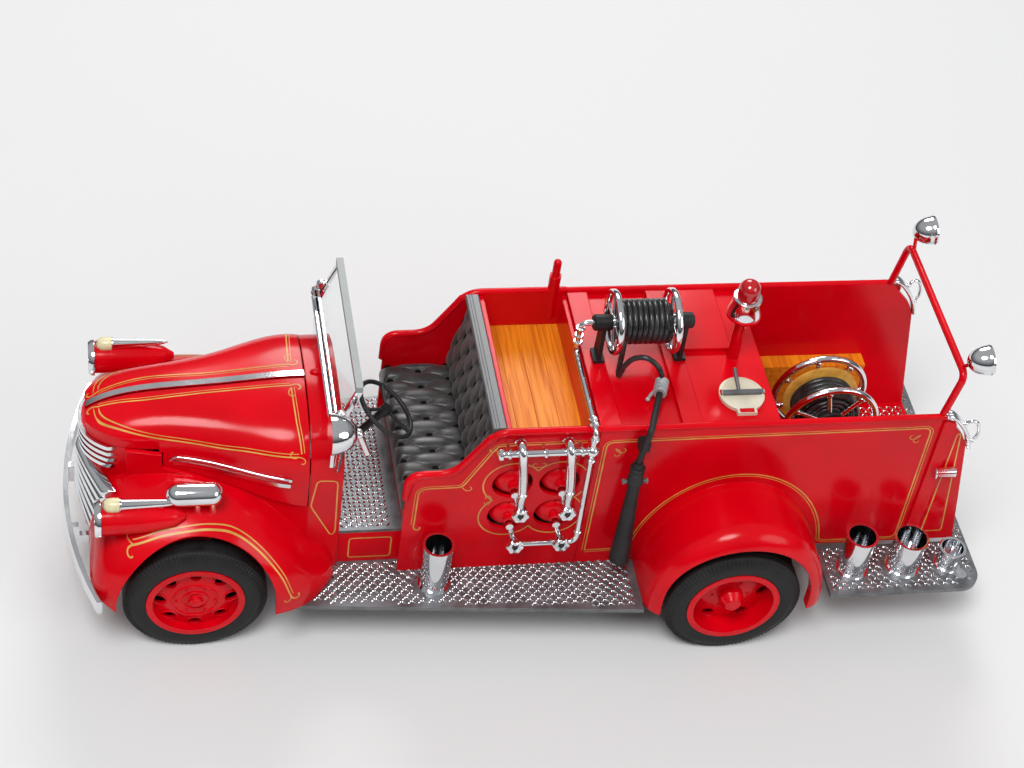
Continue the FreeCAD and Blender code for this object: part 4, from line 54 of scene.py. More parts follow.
turn_z = Matrix.Rotation(LOOK_ROUND, 3, "Z")
tip_x = Matrix.Rotation(math.pi / 2 - LOOK_DOWN, 3, "X")
roll_z = Matrix.Rotation(LEAN, 3, "Z")
camera_data = bpy.data.cameras.new("camera")
camera_data.lens = LENS
camera_data.sensor_width = SENSOR
camera_data.clip_start = NEAREST
camera = bpy.data.objects.new("camera", camera_data)
camera.matrix_world = (turn_z @ tip_x @ roll_z).to_4x4()
camera.location = [value * MM for value in CAMERA_AT]
bpy.context.scene.collection.objects.link(camera)
bpy.context.scene.camera = camera

# Floor, backdrop and light.
# A pale sheet lies under the tyres, and three broad soft lamps stand round the model.
# Mirrors see a pale room with a darker band low down, so plating reads as metal.
FLOOR_HALF = 4.0
FLOOR_COLOUR = (0.7, 0.7, 0.7, 1)
FLOOR_ROUGH = 0.85
ROOM_LOW = (0.05, 0.05, 0.055, 1)
ROOM_HIGH = (0.8, 0.81, 0.83, 1)
ROOM_BAND = (0.02, 0.6)
ROOM_STRENGTH = 0.5
LAMPS = (
    ("key_lamp", (-0.3, -0.5, 1.1), 0.5, 10.0),
    ("fill_lamp", (0.8, -0.7, 0.6), 0.7, 3.5),
    ("back_lamp", (0.1, 0.85, 0.7), 0.5, 5.0),
)

bpy.context.scene.view_settings.view_transform = "Standard"
floor_mesh = bpy.data.meshes.new("floor")
corners = np.array([(-1, -1, 0), (1, -1, 0), (1, 1, 0), (-1, 1, 0)]) * FLOOR_HALF
floor_mesh.from_pydata(corners.tolist(), [], [(0, 1, 2, 3)])
floor = bpy.data.objects.new("floor", floor_mesh)
bpy.context.scene.collection.objects.link(floor)
floor_paper = bpy.data.materials.new("floor_paper")
floor_paper.use_nodes = True
floor_shader = floor_paper.node_tree.nodes["Principled BSDF"]
floor_shader.inputs["Base Color"].default_value = FLOOR_COLOUR
floor_shader.inputs["Roughness"].default_value = FLOOR_ROUGH
floor_mesh.materials.append(floor_paper)

room = bpy.data.worlds.new("room")
room.use_nodes = True
bpy.context.scene.world = room
room_nodes = room.node_tree
direction = room_nodes.nodes.new("ShaderNodeTexCoord")
split = room_nodes.nodes.new("ShaderNodeSeparateXYZ")
ramp = room_nodes.nodes.new("ShaderNodeValToRGB")
for stop, place, colour in zip(ramp.color_ramp.elements, ROOM_BAND, (ROOM_LOW, ROOM_HIGH)):
    stop.position, stop.color = place, colour
room_nodes.links.new(direction.outputs["Generated"], split.inputs[0])
room_nodes.links.new(split.outputs["Z"], ramp.inputs[0])
backdrop = room_nodes.nodes["Background"]
backdrop.inputs["Strength"].default_value = ROOM_STRENGTH
room_nodes.links.new(ramp.outputs[0], backdrop.inputs["Color"])

for name, place, size, power in LAMPS:
    lamp_data = bpy.data.lights.new(name, "AREA")
    lamp_data.shape = "DISK"
    lamp_data.size = size
    lamp_data.energy = power
    lamp = bpy.data.objects.new(name, lamp_data)
    lamp.location = place
    lamp.rotation_mode = "QUATERNION"
    lamp.rotation_quaternion = lamp.location.normalized().to_track_quat("Z", "Y")
    bpy.context.scene.collection.objects.link(lamp)

# Frame, axles, steering parts and engine.
# They are one set of black plastic mouldings, satin off the mould, with a little grey where they rub.
BLACK = (0.01, 0.01, 0.011, 1)
BLACK_WORN = (0.022, 0.022, 0.023, 1)
DARK_SHINE = 0.3
BLACK_ROUGH = 0.42
BUMP_HEIGHT = 0.00001
TINT_STOPS = (0.35, 0.65)
GLOSS_FROM = (0.3, 0.7)
CLOUD_DETAIL, GRAIN_DETAIL = 4.0, 2.0
MERGE = 0.000002
SOFT_EDGE = math.radians(32)
CRISP_EDGE = math.radians(44)
FRAME_NODES = (
    "chassis", "front_axle", "rear_axle_housing", "knuckle_left", "knuckle_right", "tie_rod", "engine",
)


def new_material(name, colour, rough, metal=0.0, shine=None):
    """A node material with its shader's own colour, roughness, metal share and, where given, shine set."""
    made = bpy.data.materials.new(name)
    made.use_nodes = True
    shader = made.node_tree.nodes["Principled BSDF"]
    shader.inputs["Base Color"].default_value = colour
    shader.inputs["Roughness"].default_value = rough
    shader.inputs["Metallic"].default_value = metal
    if shine is not None:
        shader.inputs["Specular IOR Level"].default_value = shine
    return made


def clouded(made, colour_a, colour_b, scale, rough_low, rough_high, fine_scale, bump):
    """Object-space clouds between two colours and two roughnesses, and a fine grain as bump."""
    tree = made.node_tree
    shader = tree.nodes["Principled BSDF"]
    place = tree.nodes.new("ShaderNodeTexCoord")
    cloud = tree.nodes.new("ShaderNodeTexNoise")
    cloud.inputs["Scale"].default_value = scale
    cloud.inputs["Detail"].default_value = CLOUD_DETAIL
    tint = tree.nodes.new("ShaderNodeValToRGB")
    for stop, place_on, colour in zip(tint.color_ramp.elements, TINT_STOPS, (colour_a, colour_b)):
        stop.position, stop.color = place_on, colour
    gloss = tree.nodes.new("ShaderNodeMapRange")
    spans = zip(("From Min", "From Max", "To Min", "To Max"), (*GLOSS_FROM, rough_low, rough_high))
    for socket, value in spans:
        gloss.inputs[socket].default_value = value
    grain = tree.nodes.new("ShaderNodeTexNoise")
    grain.inputs["Scale"].default_value = fine_scale
    grain.inputs["Detail"].default_value = GRAIN_DETAIL
    relief = tree.nodes.new("ShaderNodeBump")
    relief.inputs["Strength"].default_value = bump
    relief.inputs["Distance"].default_value = BUMP_HEIGHT
    for source, target in (
        (place.outputs["Object"], cloud.inputs["Vector"]), (place.outputs["Object"], grain.inputs["Vector"]),
        (cloud.outputs["Fac"], tint.inputs["Fac"]), (tint.outputs["Color"], shader.inputs["Base Color"]),
        (cloud.outputs["Fac"], gloss.inputs["Value"]), (gloss.outputs["Result"], shader.inputs["Roughness"]),
        (grain.outputs["Fac"], relief.inputs["Height"]), (relief.outputs["Normal"], shader.inputs["Normal"]),
    ):
        tree.links.new(source, target)


def dress(node, material, edge=SOFT_EDGE):
    """Gives a node or a new piece its finish, its loose triangles welded and its curved faces smooth."""
    piece = nodes.get(node) or bpy.data.objects[node]
    piece.data.materials.clear()
    piece.data.materials.append(material)
    piece.data.polygons.foreach_set("use_smooth", np.ones(len(piece.data.polygons), bool))
    weld = piece.modifiers.new("weld", "WELD")
    weld.merge_threshold = MERGE
    part = piece.modifiers.new("part", "EDGE_SPLIT")
    part.split_angle = edge


moulded_black = new_material("moulded_black", BLACK, BLACK_ROUGH, shine=DARK_SHINE)
clouded(moulded_black, BLACK, BLACK_WORN, 90.0, BLACK_ROUGH, BLACK_ROUGH * 1.3, 2500.0, 0.3)
for node in FRAME_NODES:
    dress(node, moulded_black)

# Tyres.
# Soft black vinyl tyres with a plain wall, a fine ribbed shoulder and three tread bands between grooves.
# The shoulder ribs are cut into the revolved wall, and each tyre is stretched over its wheel.
TYRE_R = 18.6
TYRE_HALF = 3.68
RIM_R = 12.0
BEAD_HALF = 3.2
TREAD_HALF = 2.55
WALL_SWELL = 0.86
RIB_COUNT = 104
RIB_SHARES = (0.0, 0.0, 1.0, 1.0)
RIB_DEPTH = 0.3
GROOVE_DEPTH = 0.4
GROOVE_SWAY = 0.14
GROOVE_YS = (0.85, -0.85)
GROOVE_FORM = ((0.34, 0), (0.2, 1), (-0.2, 1), (-0.34, 0))
SHOULDER_DROP = 0.15
SHOULDER_IN = 0.35
RIB_FROM, RIB_TO = 0.72, 1.02
RIB_EASE_IN, RIB_EASE_OUT = 0.06, 0.04
RIB_SIDE = 0.7
RUBBER = (0.007, 0.007, 0.008, 1)
RUBBER_DUSTY = (0.016, 0.016, 0.015, 1)
FRONT_X, REAR_X = -90.5, 51.5
FRONT_TYRE_Y = 31.0
REAR_TYRE_YS = (-41.3, -33.0, 33.0, 41.3)
SIDES = ((-1, "left"), (1, "right"))


def grid_faces(rows, columns, closed_rows=False, closed_columns=False):
    """Quads between neighbours of a grid of points, its last row or column joined to the first where closed."""
    first = np.arange(rows if closed_rows else rows - 1)
    second = np.arange(columns if closed_columns else columns - 1)
    a, b = np.meshgrid(first, second, indexing="ij")
    after, beside = (a + 1) % rows, (b + 1) % columns
    quads = [a * columns + b, after * columns + b, after * columns + beside, a * columns + beside]
    return np.stack(quads, axis=-1).reshape(-1, 4).tolist()


def gathered(shapes):
    """Several (points, faces) shapes as one."""
    points, faces, count = [], [], 0
    for some_points, some_faces in shapes:
        points.append(np.asarray(some_points, float).reshape(-1, 3))
        faces.extend([[index + count for index in face] for face in some_faces])
        count += len(points[-1])
    return np.concatenate(points), faces


def skin(name, shape, finish, body, smooth=True, closed=True):
    """A new piece from (points in millimetres, faces). Doubles are merged, and closed shells face outwards."""
    points, faces = shape
    mesh = bpy.data.meshes.new(name)
    mesh.from_pydata((np.asarray(points).reshape(-1, 3) * MM).tolist(), [], faces)
    form = bmesh.new()
    form.from_mesh(mesh)
    bmesh.ops.remove_doubles(form, verts=form.verts, dist=MERGE)
    if closed:
        bmesh.ops.recalc_face_normals(form, faces=form.faces)
    form.to_mesh(mesh)
    form.free()
    mesh.polygons.foreach_set("use_smooth", np.full(len(mesh.polygons), smooth))
    mesh.set_sharp_from_angle(angle=CRISP_EDGE)
    mesh.materials.append(finish)
    piece = bpy.data.objects.new(name, mesh)
    bpy.context.scene.collection.objects.link(piece)
    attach(piece, body)
    return piece


def tyre_form(x, y):
    """point(t, a) = axle + r(t, a) (cos a, sin a) in the side view, y + w(t, a) across.
    The wall is w = straight run + swell sin(pi t) from bead to shoulder. Ribs lower r in steps of the angle
    near the shoulder, and both grooves sway with a triangle wave of the angle."""
    turns = RIB_COUNT * len(RIB_SHARES)
    angle = np.linspace(0, 2 * np.pi, turns, endpoint=False)
    step = np.tile(RIB_SHARES, RIB_COUNT)
    sway = GROOVE_SWAY * (np.abs(np.arange(turns) % 8 - 4) / 2 - 1)
    share = np.linspace(0, 1, 13)
    width = BEAD_HALF + (TREAD_HALF - BEAD_HALF) * share + WALL_SWELL * np.sin(np.pi * share)
    height = RIM_R + (TYRE_R - SHOULDER_DROP - RIM_R) * share
    ribbed = np.clip((share - RIB_FROM) / RIB_EASE_IN, 0, 1) * np.clip((RIB_TO - share) / RIB_EASE_OUT, 0, 1)
    wall_w = np.broadcast_to(np.minimum(width, TYRE_HALF), (turns, len(share)))
    wall_w = wall_w - ribbed * step[:, None] * RIB_DEPTH * RIB_SIDE
    wall_r = height - ribbed * step[:, None] * RIB_DEPTH
    across, lowered = [], []
    for centre in GROOVE_YS:
        for offset, depth in GROOVE_FORM:
            across.append(centre + offset + sway)
            lowered.append(np.full(turns, TYRE_R - GROOVE_DEPTH * depth))
    flat = TREAD_HALF - SHOULDER_IN
    across = [np.full(turns, flat)] + across + [np.full(turns, -flat)]
    lowered = [np.full(turns, TYRE_R)] + lowered + [np.full(turns, TYRE_R)]
    w = np.concatenate([wall_w, np.array(across).T, -wall_w[:, ::-1]], axis=1)
    r = np.concatenate([wall_r, np.array(lowered).T, wall_r[:, ::-1]], axis=1)
    points = np.stack([x + r * np.cos(angle)[:, None], y + w, TYRE_R + r * np.sin(angle)[:, None]], axis=-1)
    return points, grid_faces(turns, w.shape[1], True, True)


tyre_vinyl = new_material("tyre_vinyl", RUBBER, 0.6, shine=DARK_SHINE)
clouded(tyre_vinyl, RUBBER, RUBBER_DUSTY, 160.0, 0.5, 0.72, 3200.0, 0.4)
for side, name in SIDES:
    form = tyre_form(FRONT_X, side * FRONT_TYRE_Y)
    tyre = skin("tyre_" + name, form, tyre_vinyl, "wheel_front_" + name)
    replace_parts(tyre, "tyre_front_" + name)
rear_pair = gathered([tyre_form(REAR_X, y) for y in REAR_TYRE_YS])
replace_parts(skin("tyres_rear", rear_pair, tyre_vinyl, "rear_axle"), "rear_tyres")

# Painted body castings: nose and fenders, hood halves, cowl, tub, rear body, hoop, bottles and wheels.
# They are die cast and sprayed with gloss red enamel. Their edges are rounded where the paint builds up.
RED = (0.68, 0.0, 0.007, 1)
RED_DEEP = (0.56, 0.0, 0.005, 1)
PAINT_ROUGH = 0.13
PAINT_SHINE = 0.22
EDGE_ROUND = 0.00035
RED_NODES = (
    "body_front", "hood_left", "hood_right", "cowl", "tub", "body_rear", "rear_arch", "bottles",
    "rim_front_left", "rim_front_right", "rear_wheels",
)

red_enamel = new_material("red_enamel", RED, PAINT_ROUGH, shine=PAINT_SHINE)
clouded(red_enamel, RED_DEEP, RED, 45.0, PAINT_ROUGH, PAINT_ROUGH * 1.5, 900.0, 0.1)
enamel_tree = red_enamel.node_tree
rounding = enamel_tree.nodes.new("ShaderNodeBevel")
rounding.inputs["Radius"].default_value = EDGE_ROUND
rounding.samples = 4
enamel_tree.links.new(rounding.outputs[0], enamel_tree.nodes["Bump"].inputs["Normal"])
for node in RED_NODES:
    dress(node, red_enamel)

# Bright trim.
# Grille, bumper, strip, mouldings, lamp rims, siren, spotlight, pipes, reel wheels and cups are vacuum plated
# plastic: a mirror with a very slight ripple.
PLATE = (0.86, 0.87, 0.89, 1)
PLATE_DULL = (0.74, 0.75, 0.77, 1)
PLATE_ROUGH = 0.06
PLATED_NODES = (
    "grille", "bumper", "hood_strip", "moulding_left", "moulding_right", "headlight_trim", "siren", "spotlight",
    "piping", "reel_flanges", "rear_reel", "board_cups",
)
plating = new_material("plating", PLATE, PLATE_ROUGH, 1.0)
clouded(plating, PLATE_DULL, PLATE, 120.0, PLATE_ROUGH, PLATE_ROUGH * 1.8, 700.0, 0.1)
for node in PLATED_NODES:
    dress(node, plating)

# Tread plate.
# The cab floor, running boards, tailboard and bed floor are pressed plates. Bright lozenges stand on a ground
# darkened as painted shade between them, each turned the other way from its neighbours, inside a smooth rim.
STUD_L = 1.74
STUD_W = 0.84
STUD_H = 0.26
STUD_PITCH = 1.36
RIM_PLAIN = 1.3
RIM_FINE, RIM_TAIL = 0.8, 0.6
BOARD_TOP = 17.5
BOARD = ((-67.6, 22.0), (-67.6, 36.0), (27.4, 43.4), (27.4, 22.0))
CAB_FLOOR = ((-60.0, -21.8), (-60.0, 21.8), (-37.8, 21.8), (-37.8, -21.8))
CAB_FLOOR_TOP = 30.0
BED = ((60.4, -24.6), (60.4, 24.6), (118.6, 24.6), (118.6, -24.6))
BED_TOP = 21.6
TAIL_TOP = 19.0
TAIL_SIDE = ((79.4, 26.1), (79.4, 43.0), (117.2, 43.0), (121.4, 41.2), (123.2, 37.0), (123.2, 26.1))
TAIL_REAR = ((119.3, -26.1), (119.3, 26.1), (123.2, 26.1), (123.2, -26.1))
# Dark grey of the plate's ground between the studs: painted shade, darker than the metal's own colour.
TREAD_SHADE = (0.2, 0.205, 0.215, 1)
TREAD_SHADE_LOW = (0.12, 0.125, 0.13, 1)
TREAD_ROUGH = 0.36
TREAD_METAL = 0.55
PLATE_RIM_Z = 19.06
BOARD_CUP = ((-27.9, 31.4, 4.6),)
CUPS = ((87.4, 34.5, 4.9), (101.9, 34.5, 5.3), (115.0, 34.5, 4.3), (118.0, 37.8, 2.6))
STUD_BRIGHT = (0.88, 0.89, 0.91, 1)
STUD_ROUGH = 0.12


def inside(x, y, plan, rim):
    """True where a place lies inside a convex plan outline by at least rim, on either side of the middle."""
    plan = np.array(plan)
    ahead = np.roll(plan, -1, axis=0)
    middle = plan.mean(axis=0)
    good = np.ones(x.shape, bool)
    for start, end in zip(plan, ahead):
        square = np.array([start[1] - end[1], end[0] - start[0]]) / np.hypot(*(end - start))
        if square @ (middle - start) < 0:
            square = -square
        good &= (x - start[0]) * square[0] + (y - start[1]) * square[1] > rim
    return good


def studs(plan, top, mirrored_too=False, rim=RIM_PLAIN, keep_out=()):
    """Lozenges on a square lattice inside a plan. Each has corners (+-L/2, 0), (0, +-W/2), turned by
    +-45 degrees by the parity of its row and column, and a ridge from -L/4 to L/4 at its height."""
    plan_array = np.array(plan)
    low, high = plan_array.min(axis=0), plan_array.max(axis=0)
    columns = np.arange(low[0], high[0], STUD_PITCH)
    rows = np.arange(low[1], high[1], STUD_PITCH)
    x, y = np.meshgrid(columns, rows, indexing="ij")
    parity = np.add.outer(np.arange(len(columns)), np.arange(len(rows))) % 2
    good = inside(x, y, plan, rim)
    for far_x, far_y, far_r in keep_out:
        good &= np.hypot(x - far_x, y - far_y) > far_r
    x, y, parity = x[good], y[good], parity[good]
    sink = -STUD_H / 4
    corners = np.array([
        (STUD_L / 2, 0, sink), (0, STUD_W / 2, sink), (-STUD_L / 2, 0, sink), (0, -STUD_W / 2, sink),
        (STUD_L / 4, 0, STUD_H), (-STUD_L / 4, 0, STUD_H),
    ])
    turn = (np.pi / 4) * (1 - 2 * parity)[:, None]
    px = x[:, None] + corners[:, 0] * np.cos(turn) - corners[:, 1] * np.sin(turn)
    py = y[:, None] + corners[:, 0] * np.sin(turn) + corners[:, 1] * np.cos(turn)
    pz = np.broadcast_to(top + corners[:, 2], px.shape)
    points = np.stack([px, py, pz], axis=-1).reshape(-1, 3)
    one = [(0, 1, 4), (1, 5, 4), (1, 2, 5), (2, 3, 5), (3, 4, 5), (3, 0, 4), (0, 3, 2, 1)]
    faces = [[index + count * 6 for index in face] for count in range(len(x)) for face in one]
    if mirrored_too:
        other = points * (1, -1, 1)
        return gathered([(points, faces), (other, faces)])
    return points, faces


def part_finish(node, material, chosen):
    """A second finish on the faces of a CAD node whose centres chosen(x, y, z), in millimetres, picks."""
    mesh = nodes[node].data
    mesh.materials.append(material)
    centres = np.empty(len(mesh.polygons) * 3)
    mesh.polygons.foreach_get("center", centres)
    x, y, z = (centres.reshape(-1, 3) / MM).T
    index = np.zeros(len(mesh.polygons), np.int32)
    mesh.polygons.foreach_get("material_index", index)
    index[chosen(x, y, z)] = len(mesh.materials) - 1
    mesh.polygons.foreach_set("material_index", index)


stud_metal = new_material("stud_metal", STUD_BRIGHT, STUD_ROUGH, 1.0)
clouded(stud_metal, PLATE_DULL, STUD_BRIGHT, 300.0, STUD_ROUGH, STUD_ROUGH * 1.8, 1500.0, 0.1)
# The ground takes the dark painted-shade colours, and the studs keep the bright metal.
shaded_tread_metal = new_material("shaded_tread_metal", TREAD_SHADE, TREAD_ROUGH, TREAD_METAL)
clouded(shaded_tread_metal, TREAD_SHADE_LOW, TREAD_SHADE, 260.0, TREAD_ROUGH * 0.8, TREAD_ROUGH * 1.4, 1500.0, 0.2)
for node in ("cab_floor", "running_boards", "tailboard"):
    dress(node, shaded_tread_metal)
part_finish("tailboard", plating, lambda x, y, z: z > PLATE_RIM_Z)
tail_studs = [studs(TAIL_SIDE, TAIL_TOP, True, keep_out=CUPS), studs(TAIL_REAR, TAIL_TOP, rim=RIM_TAIL)]
for name, shape in (
    ("board_studs", studs(BOARD, BOARD_TOP, True, keep_out=BOARD_CUP)),
    ("cab_studs", studs(CAB_FLOOR, CAB_FLOOR_TOP, rim=RIM_FINE)),
    ("bed_studs", studs(BED, BED_TOP, rim=RIM_FINE)),
    ("tail_studs", gathered(tail_studs)),
):
    skin(name, shape, stud_metal, "chassis", False)

# Seat.
# A black bench and back, moulded as deep buttoned leather in a diamond pattern, under a grey top bar.
# The cushion and back are one soft vinyl moulding each, and sit on the red seat box.
SEAT_HALF = 24.5
# Foot and head in the side view, thickness at both, first row of buttons and step between rows
CUSHION = ((-37.6, 40.4), (-17.7, 40.4), (5.9, 5.9), 2.0, 8.0)
BACK = ((-17.5, 46.7), (-12.9, 68.7), (3.5, 2.4), 2.8, 5.5)
BUTTON_STEP_Y = 2.95
TUFT_DEPTH = 0.5
TUFT_POWER = 0.4
CREASE_SHARE = 0.42
DIMPLE_SHARE = 0.58
BUTTON_R = 0.85
BUTTON_H = 0.2
BUTTON_RISE = 0.55
BUTTON_ROWS, BUTTON_COLUMNS = 4, 8
END_POWER, SIDE_POWER = 10, 22
PAD_ROWS, PAD_COLUMNS = 130, 300
ROW_EASE, COLUMN_EASE = 0.35, 0.09
LAST_BUTTON_AT = 0.96
BAR_PROFILE = (
    (-16.5, 68.6), (-16.5, 69.7), (-16.2, 70.0), (-15.9, 70.0), (-15.8, 69.8), (-15.6, 69.8), (-15.5, 70.0),
    (-15.1, 70.0), (-15.0, 69.8), (-14.8, 69.8), (-14.7, 70.0), (-13.2, 70.0), (-12.9, 69.7), (-12.9, 68.6),
)
# Near-black colours of the seat buttons: painted shade in their deep dimples, darker than the leather they are
# made of.
BUTTON_SHADE_BLACK = (0.003, 0.003, 0.003, 1)
BUTTON_SHADE_WORN = (0.006, 0.006, 0.006, 1)
BUTTON_ROUGH = 0.8
BUTTON_SHINE = 0.1
LEATHER = (0.03, 0.03, 0.03, 1)
LEATHER_WORN = (0.055, 0.054, 0.052, 1)
TUFT_FULL = 3.4
BAR_GREY = (0.14, 0.143, 0.146, 1)
BAR_DARK = (0.1, 0.103, 0.107, 1)


def tuft(u, v):
    """Bulge between buttons: 1 - c (1 - (|sin pi a| |sin pi b|)^p) - d (cos pi a cos pi b)^4 with
    a = (u + v) / 2, b = (u - v) / 2, so creases run along the diagonals and a deeper dimple lies at each
    button, where they cross."""
    a, b = np.pi * (u + v) / 2, np.pi * (u - v) / 2
    crease = 1 - (np.abs(np.sin(a)) * np.abs(np.sin(b))) ** TUFT_POWER
    return 1 - CREASE_SHARE * crease - DIMPLE_SHARE * (np.cos(a) * np.cos(b)) ** 4


def pad_place(foot, head, thick, first, step, s, y):
    """The pad's upper face over the line foot to head in the side view, carried across the seat.
    height(s, y) = T(s) (1 - (2s - 1)^10)^(1/3) (1 - (y / half)^22)^(1/3) (1 - depth (1 - tuft)), with
    T(s) running from one thickness to the other."""
    foot, head = np.array(foot), np.array(head)
    run = np.linalg.norm(head - foot)
    along = (head - foot) / run
    ends = np.abs(1 - np.abs(2 * s - 1) ** END_POWER) ** (1 / 3)
    sides = np.abs(1 - np.abs(y / SEAT_HALF) ** SIDE_POWER) ** (1 / 3)
    bulge = tuft((s * run - first) / step, y / BUTTON_STEP_Y)
    low = TUFT_DEPTH * min(1, TUFT_FULL / thick[0])
    height = (thick[0] + (thick[1] - thick[0]) * s) * ends * sides * (1 - low * (1 - bulge))
    x = foot[0] + along[0] * s * run - along[1] * height
    z = foot[1] + along[1] * s * run + along[0] * height
    return np.stack([x, y, z], axis=-1), np.array([-along[1], 0, along[0]])


def pad(foot, head, thick, first, step):
    """The pad's upper face on a grid that is finer near its edges, closed by a flat underside."""
    s, t = np.linspace(0, 1, PAD_ROWS), np.linspace(0, 1, PAD_COLUMNS)
    s = ROW_EASE * (0.5 - 0.5 * np.cos(np.pi * s)) + (1 - ROW_EASE) * s
    t = t - COLUMN_EASE * np.sin(2 * np.pi * t) / (2 * np.pi)
    s, t = np.meshgrid(s, t, indexing="ij")
    y = SEAT_HALF * (2 * t - 1)
    upper = pad_place(foot, head, thick, first, step, s, y)[0]
    foot, head = np.array(foot), np.array(head)
    lower = np.stack([foot[0] + (head[0] - foot[0]) * s, y, foot[1] + (head[1] - foot[1]) * s], axis=-1)
    faces = grid_faces(PAD_ROWS, PAD_COLUMNS)
    return gathered([(upper, faces), (lower, [face[::-1] for face in faces])])


def pad_buttons(foot, head, thick, first, step):
    """Low domes where the creases cross: row i at first + i step, and every second lateral step, moved by
    one in odd rows."""
    run = np.linalg.norm(np.array(head) - np.array(foot))
    columns = np.arange(-BUTTON_COLUMNS, BUTTON_COLUMNS + 1)
    row, column = np.meshgrid(np.arange(BUTTON_ROWS), columns, indexing="ij")
    s = (first + row * step) / run
    y = column * BUTTON_STEP_Y
    used = ((row + column) % 2 == 0) & (s < LAST_BUTTON_AT) & (np.abs(y) < SEAT_HALF - BUTTON_R)
    places, square = pad_place(foot, head, thick, first, step, s[used], y[used])
    dome = (
        (-BUTTON_H, 0), (-BUTTON_H, BUTTON_R), (BUTTON_RISE, BUTTON_R),
        (BUTTON_RISE + BUTTON_H, BUTTON_R * 0.6), (BUTTON_RISE + BUTTON_H * 1.2, 0),
    )
    return gathered([turned(dome, place, square, 12) for place in places])


def turned(profile, centre, axis, steps=48, lobes=0, swing=0.0):
    """A closed (along, radius) outline turned about an axis through centre. With lobes, the radius swings by
    1 + swing cos(lobes a)."""
    profile = np.array(profile, float)
    angle = np.linspace(0, 2 * np.pi, steps, endpoint=False)
    axis = np.array(axis, float) / np.linalg.norm(axis)
    aside = np.cross(axis, (0.0, 0.0, 1.0) if abs(axis[2]) < 0.9 else (1.0, 0.0, 0.0))
    aside /= np.linalg.norm(aside)
    up = np.cross(axis, aside)
    ring = np.cos(angle)[:, None] * aside + np.sin(angle)[:, None] * up
    ring = ring * (1 + swing * np.cos(lobes * angle))[:, None]
    points = np.array(centre) + profile[:, 0][:, None, None] * axis + profile[:, 1][:, None, None] * ring
    return points, grid_faces(len(profile), steps, True, True)


def carried(profile, low, high):
    """A closed (x, z) outline carried across from low to high, its ends closed."""
    outline = np.array(profile, float)
    count = len(outline)
    ends = [np.stack([outline[:, 0], np.full(count, y), outline[:, 1]], axis=-1) for y in (low, high)]
    faces = grid_faces(2, count, False, True) + [list(range(count))[::-1], list(range(count, 2 * count))]
    return np.concatenate(ends), faces


leather = new_material("tufted_leather", LEATHER, 0.36)
clouded(leather, LEATHER, LEATHER_WORN, 220.0, 0.3, 0.46, 4200.0, 0.5)
leather.node_tree.nodes["Principled BSDF"].inputs["Sheen Weight"].default_value = 0.1
for name, node, form in (("bench_cushion", "seat_cushion", CUSHION), ("bench_back", "seat_back", BACK)):
    piece = skin(name, pad(*form), leather, "chassis")
    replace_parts(piece, node)
# The buttons are coloured near black as painted shade in the dimples round them.
shaded_button_black = new_material("shaded_button_black", BUTTON_SHADE_BLACK, BUTTON_ROUGH, shine=BUTTON_SHINE)
clouded(shaded_button_black, BUTTON_SHADE_BLACK, BUTTON_SHADE_WORN, 220.0, BUTTON_ROUGH, 0.9, 4200.0, 0.3)
buttons = gathered([pad_buttons(*CUSHION), pad_buttons(*BACK)])
skin("seat_buttons", buttons, shaded_button_black, "chassis")
satin_grey = new_material("satin_grey", BAR_GREY, 0.3)
clouded(satin_grey, BAR_DARK, BAR_GREY, 150.0, 0.26, 0.38, 2400.0, 0.2)
skin("back_bar", carried(BAR_PROFILE, -SEAT_HALF, SEAT_HALF), satin_grey, "chassis", False)

# Main reel and its hose.
# Black rubber hose is wound on a core between two plated wheels, and its tail arches to a valve on the deck.
# It is a stiff moulded piece on the model, so it keeps its shape.
ALONG, ACROSS, UP = (1, 0, 0), (0, 1, 0), (0, 0, 1)
REEL_Z = 82.3
REEL_ENDS = (17.6, 33.0)
COIL_START, COIL_END = 18.95, 31.65
COIL_R = 5.26
COIL_TURNS = 9
HOSE_R = 0.72
REEL_CORE_R = 4.6
FLANGE_BAND = (
    (-0.8, 7.5), (-0.8, 8.3), (-0.48, 8.6), (0.48, 8.6), (0.8, 8.3), (0.8, 7.5), (0.32, 7.2), (-0.32, 7.2),
)
HUB_PLACES = ((14.6, 0.0, 82.3), (36.2, 0.0, 82.3))
HUB_R = 2.15
HUB_L = 5.2
TAIL_POINTS = (
    (19.6, -4.4, 82.0), (19.6, -5.5, 79.0), (19.4, -6.1, 75.0), (19.2, -6.6, 71.6), (19.3, -7.1, 69.9),
    (19.6, -7.6, 71.6), (20.2, -8.1, 74.6), (21.8, -8.8, 77.5), (24.6, -9.9, 78.8), (27.2, -11.1, 77.6),
    (28.9, -12.1, 75.0), (29.4, -12.5, 71.8),
)
HOSE_BLACK = (0.014, 0.014, 0.015, 1)
HOSE_GREY = (0.03, 0.03, 0.031, 1)


def smooth_path(route, steps):
    """A curve through every point: each span is the cubic whose end slopes are half the chord between the
    points on either side."""
    route = np.asarray(route, float)
    ends = np.concatenate([[2 * route[0] - route[1]], route, [2 * route[-1] - route[-2]]])
    t = np.linspace(0, 1, steps, endpoint=False)[None, :, None]
    a, b, c, d = (ends[i:len(ends) - 3 + i][:, None, :] for i in range(4))
    span = b + 0.5 * t * (c - a + t * (2 * a - 5 * b + 4 * c - d + t * (3 * (b - c) + d - a)))
    return np.concatenate([span.reshape(-1, route.shape[1]), route[-1:]])


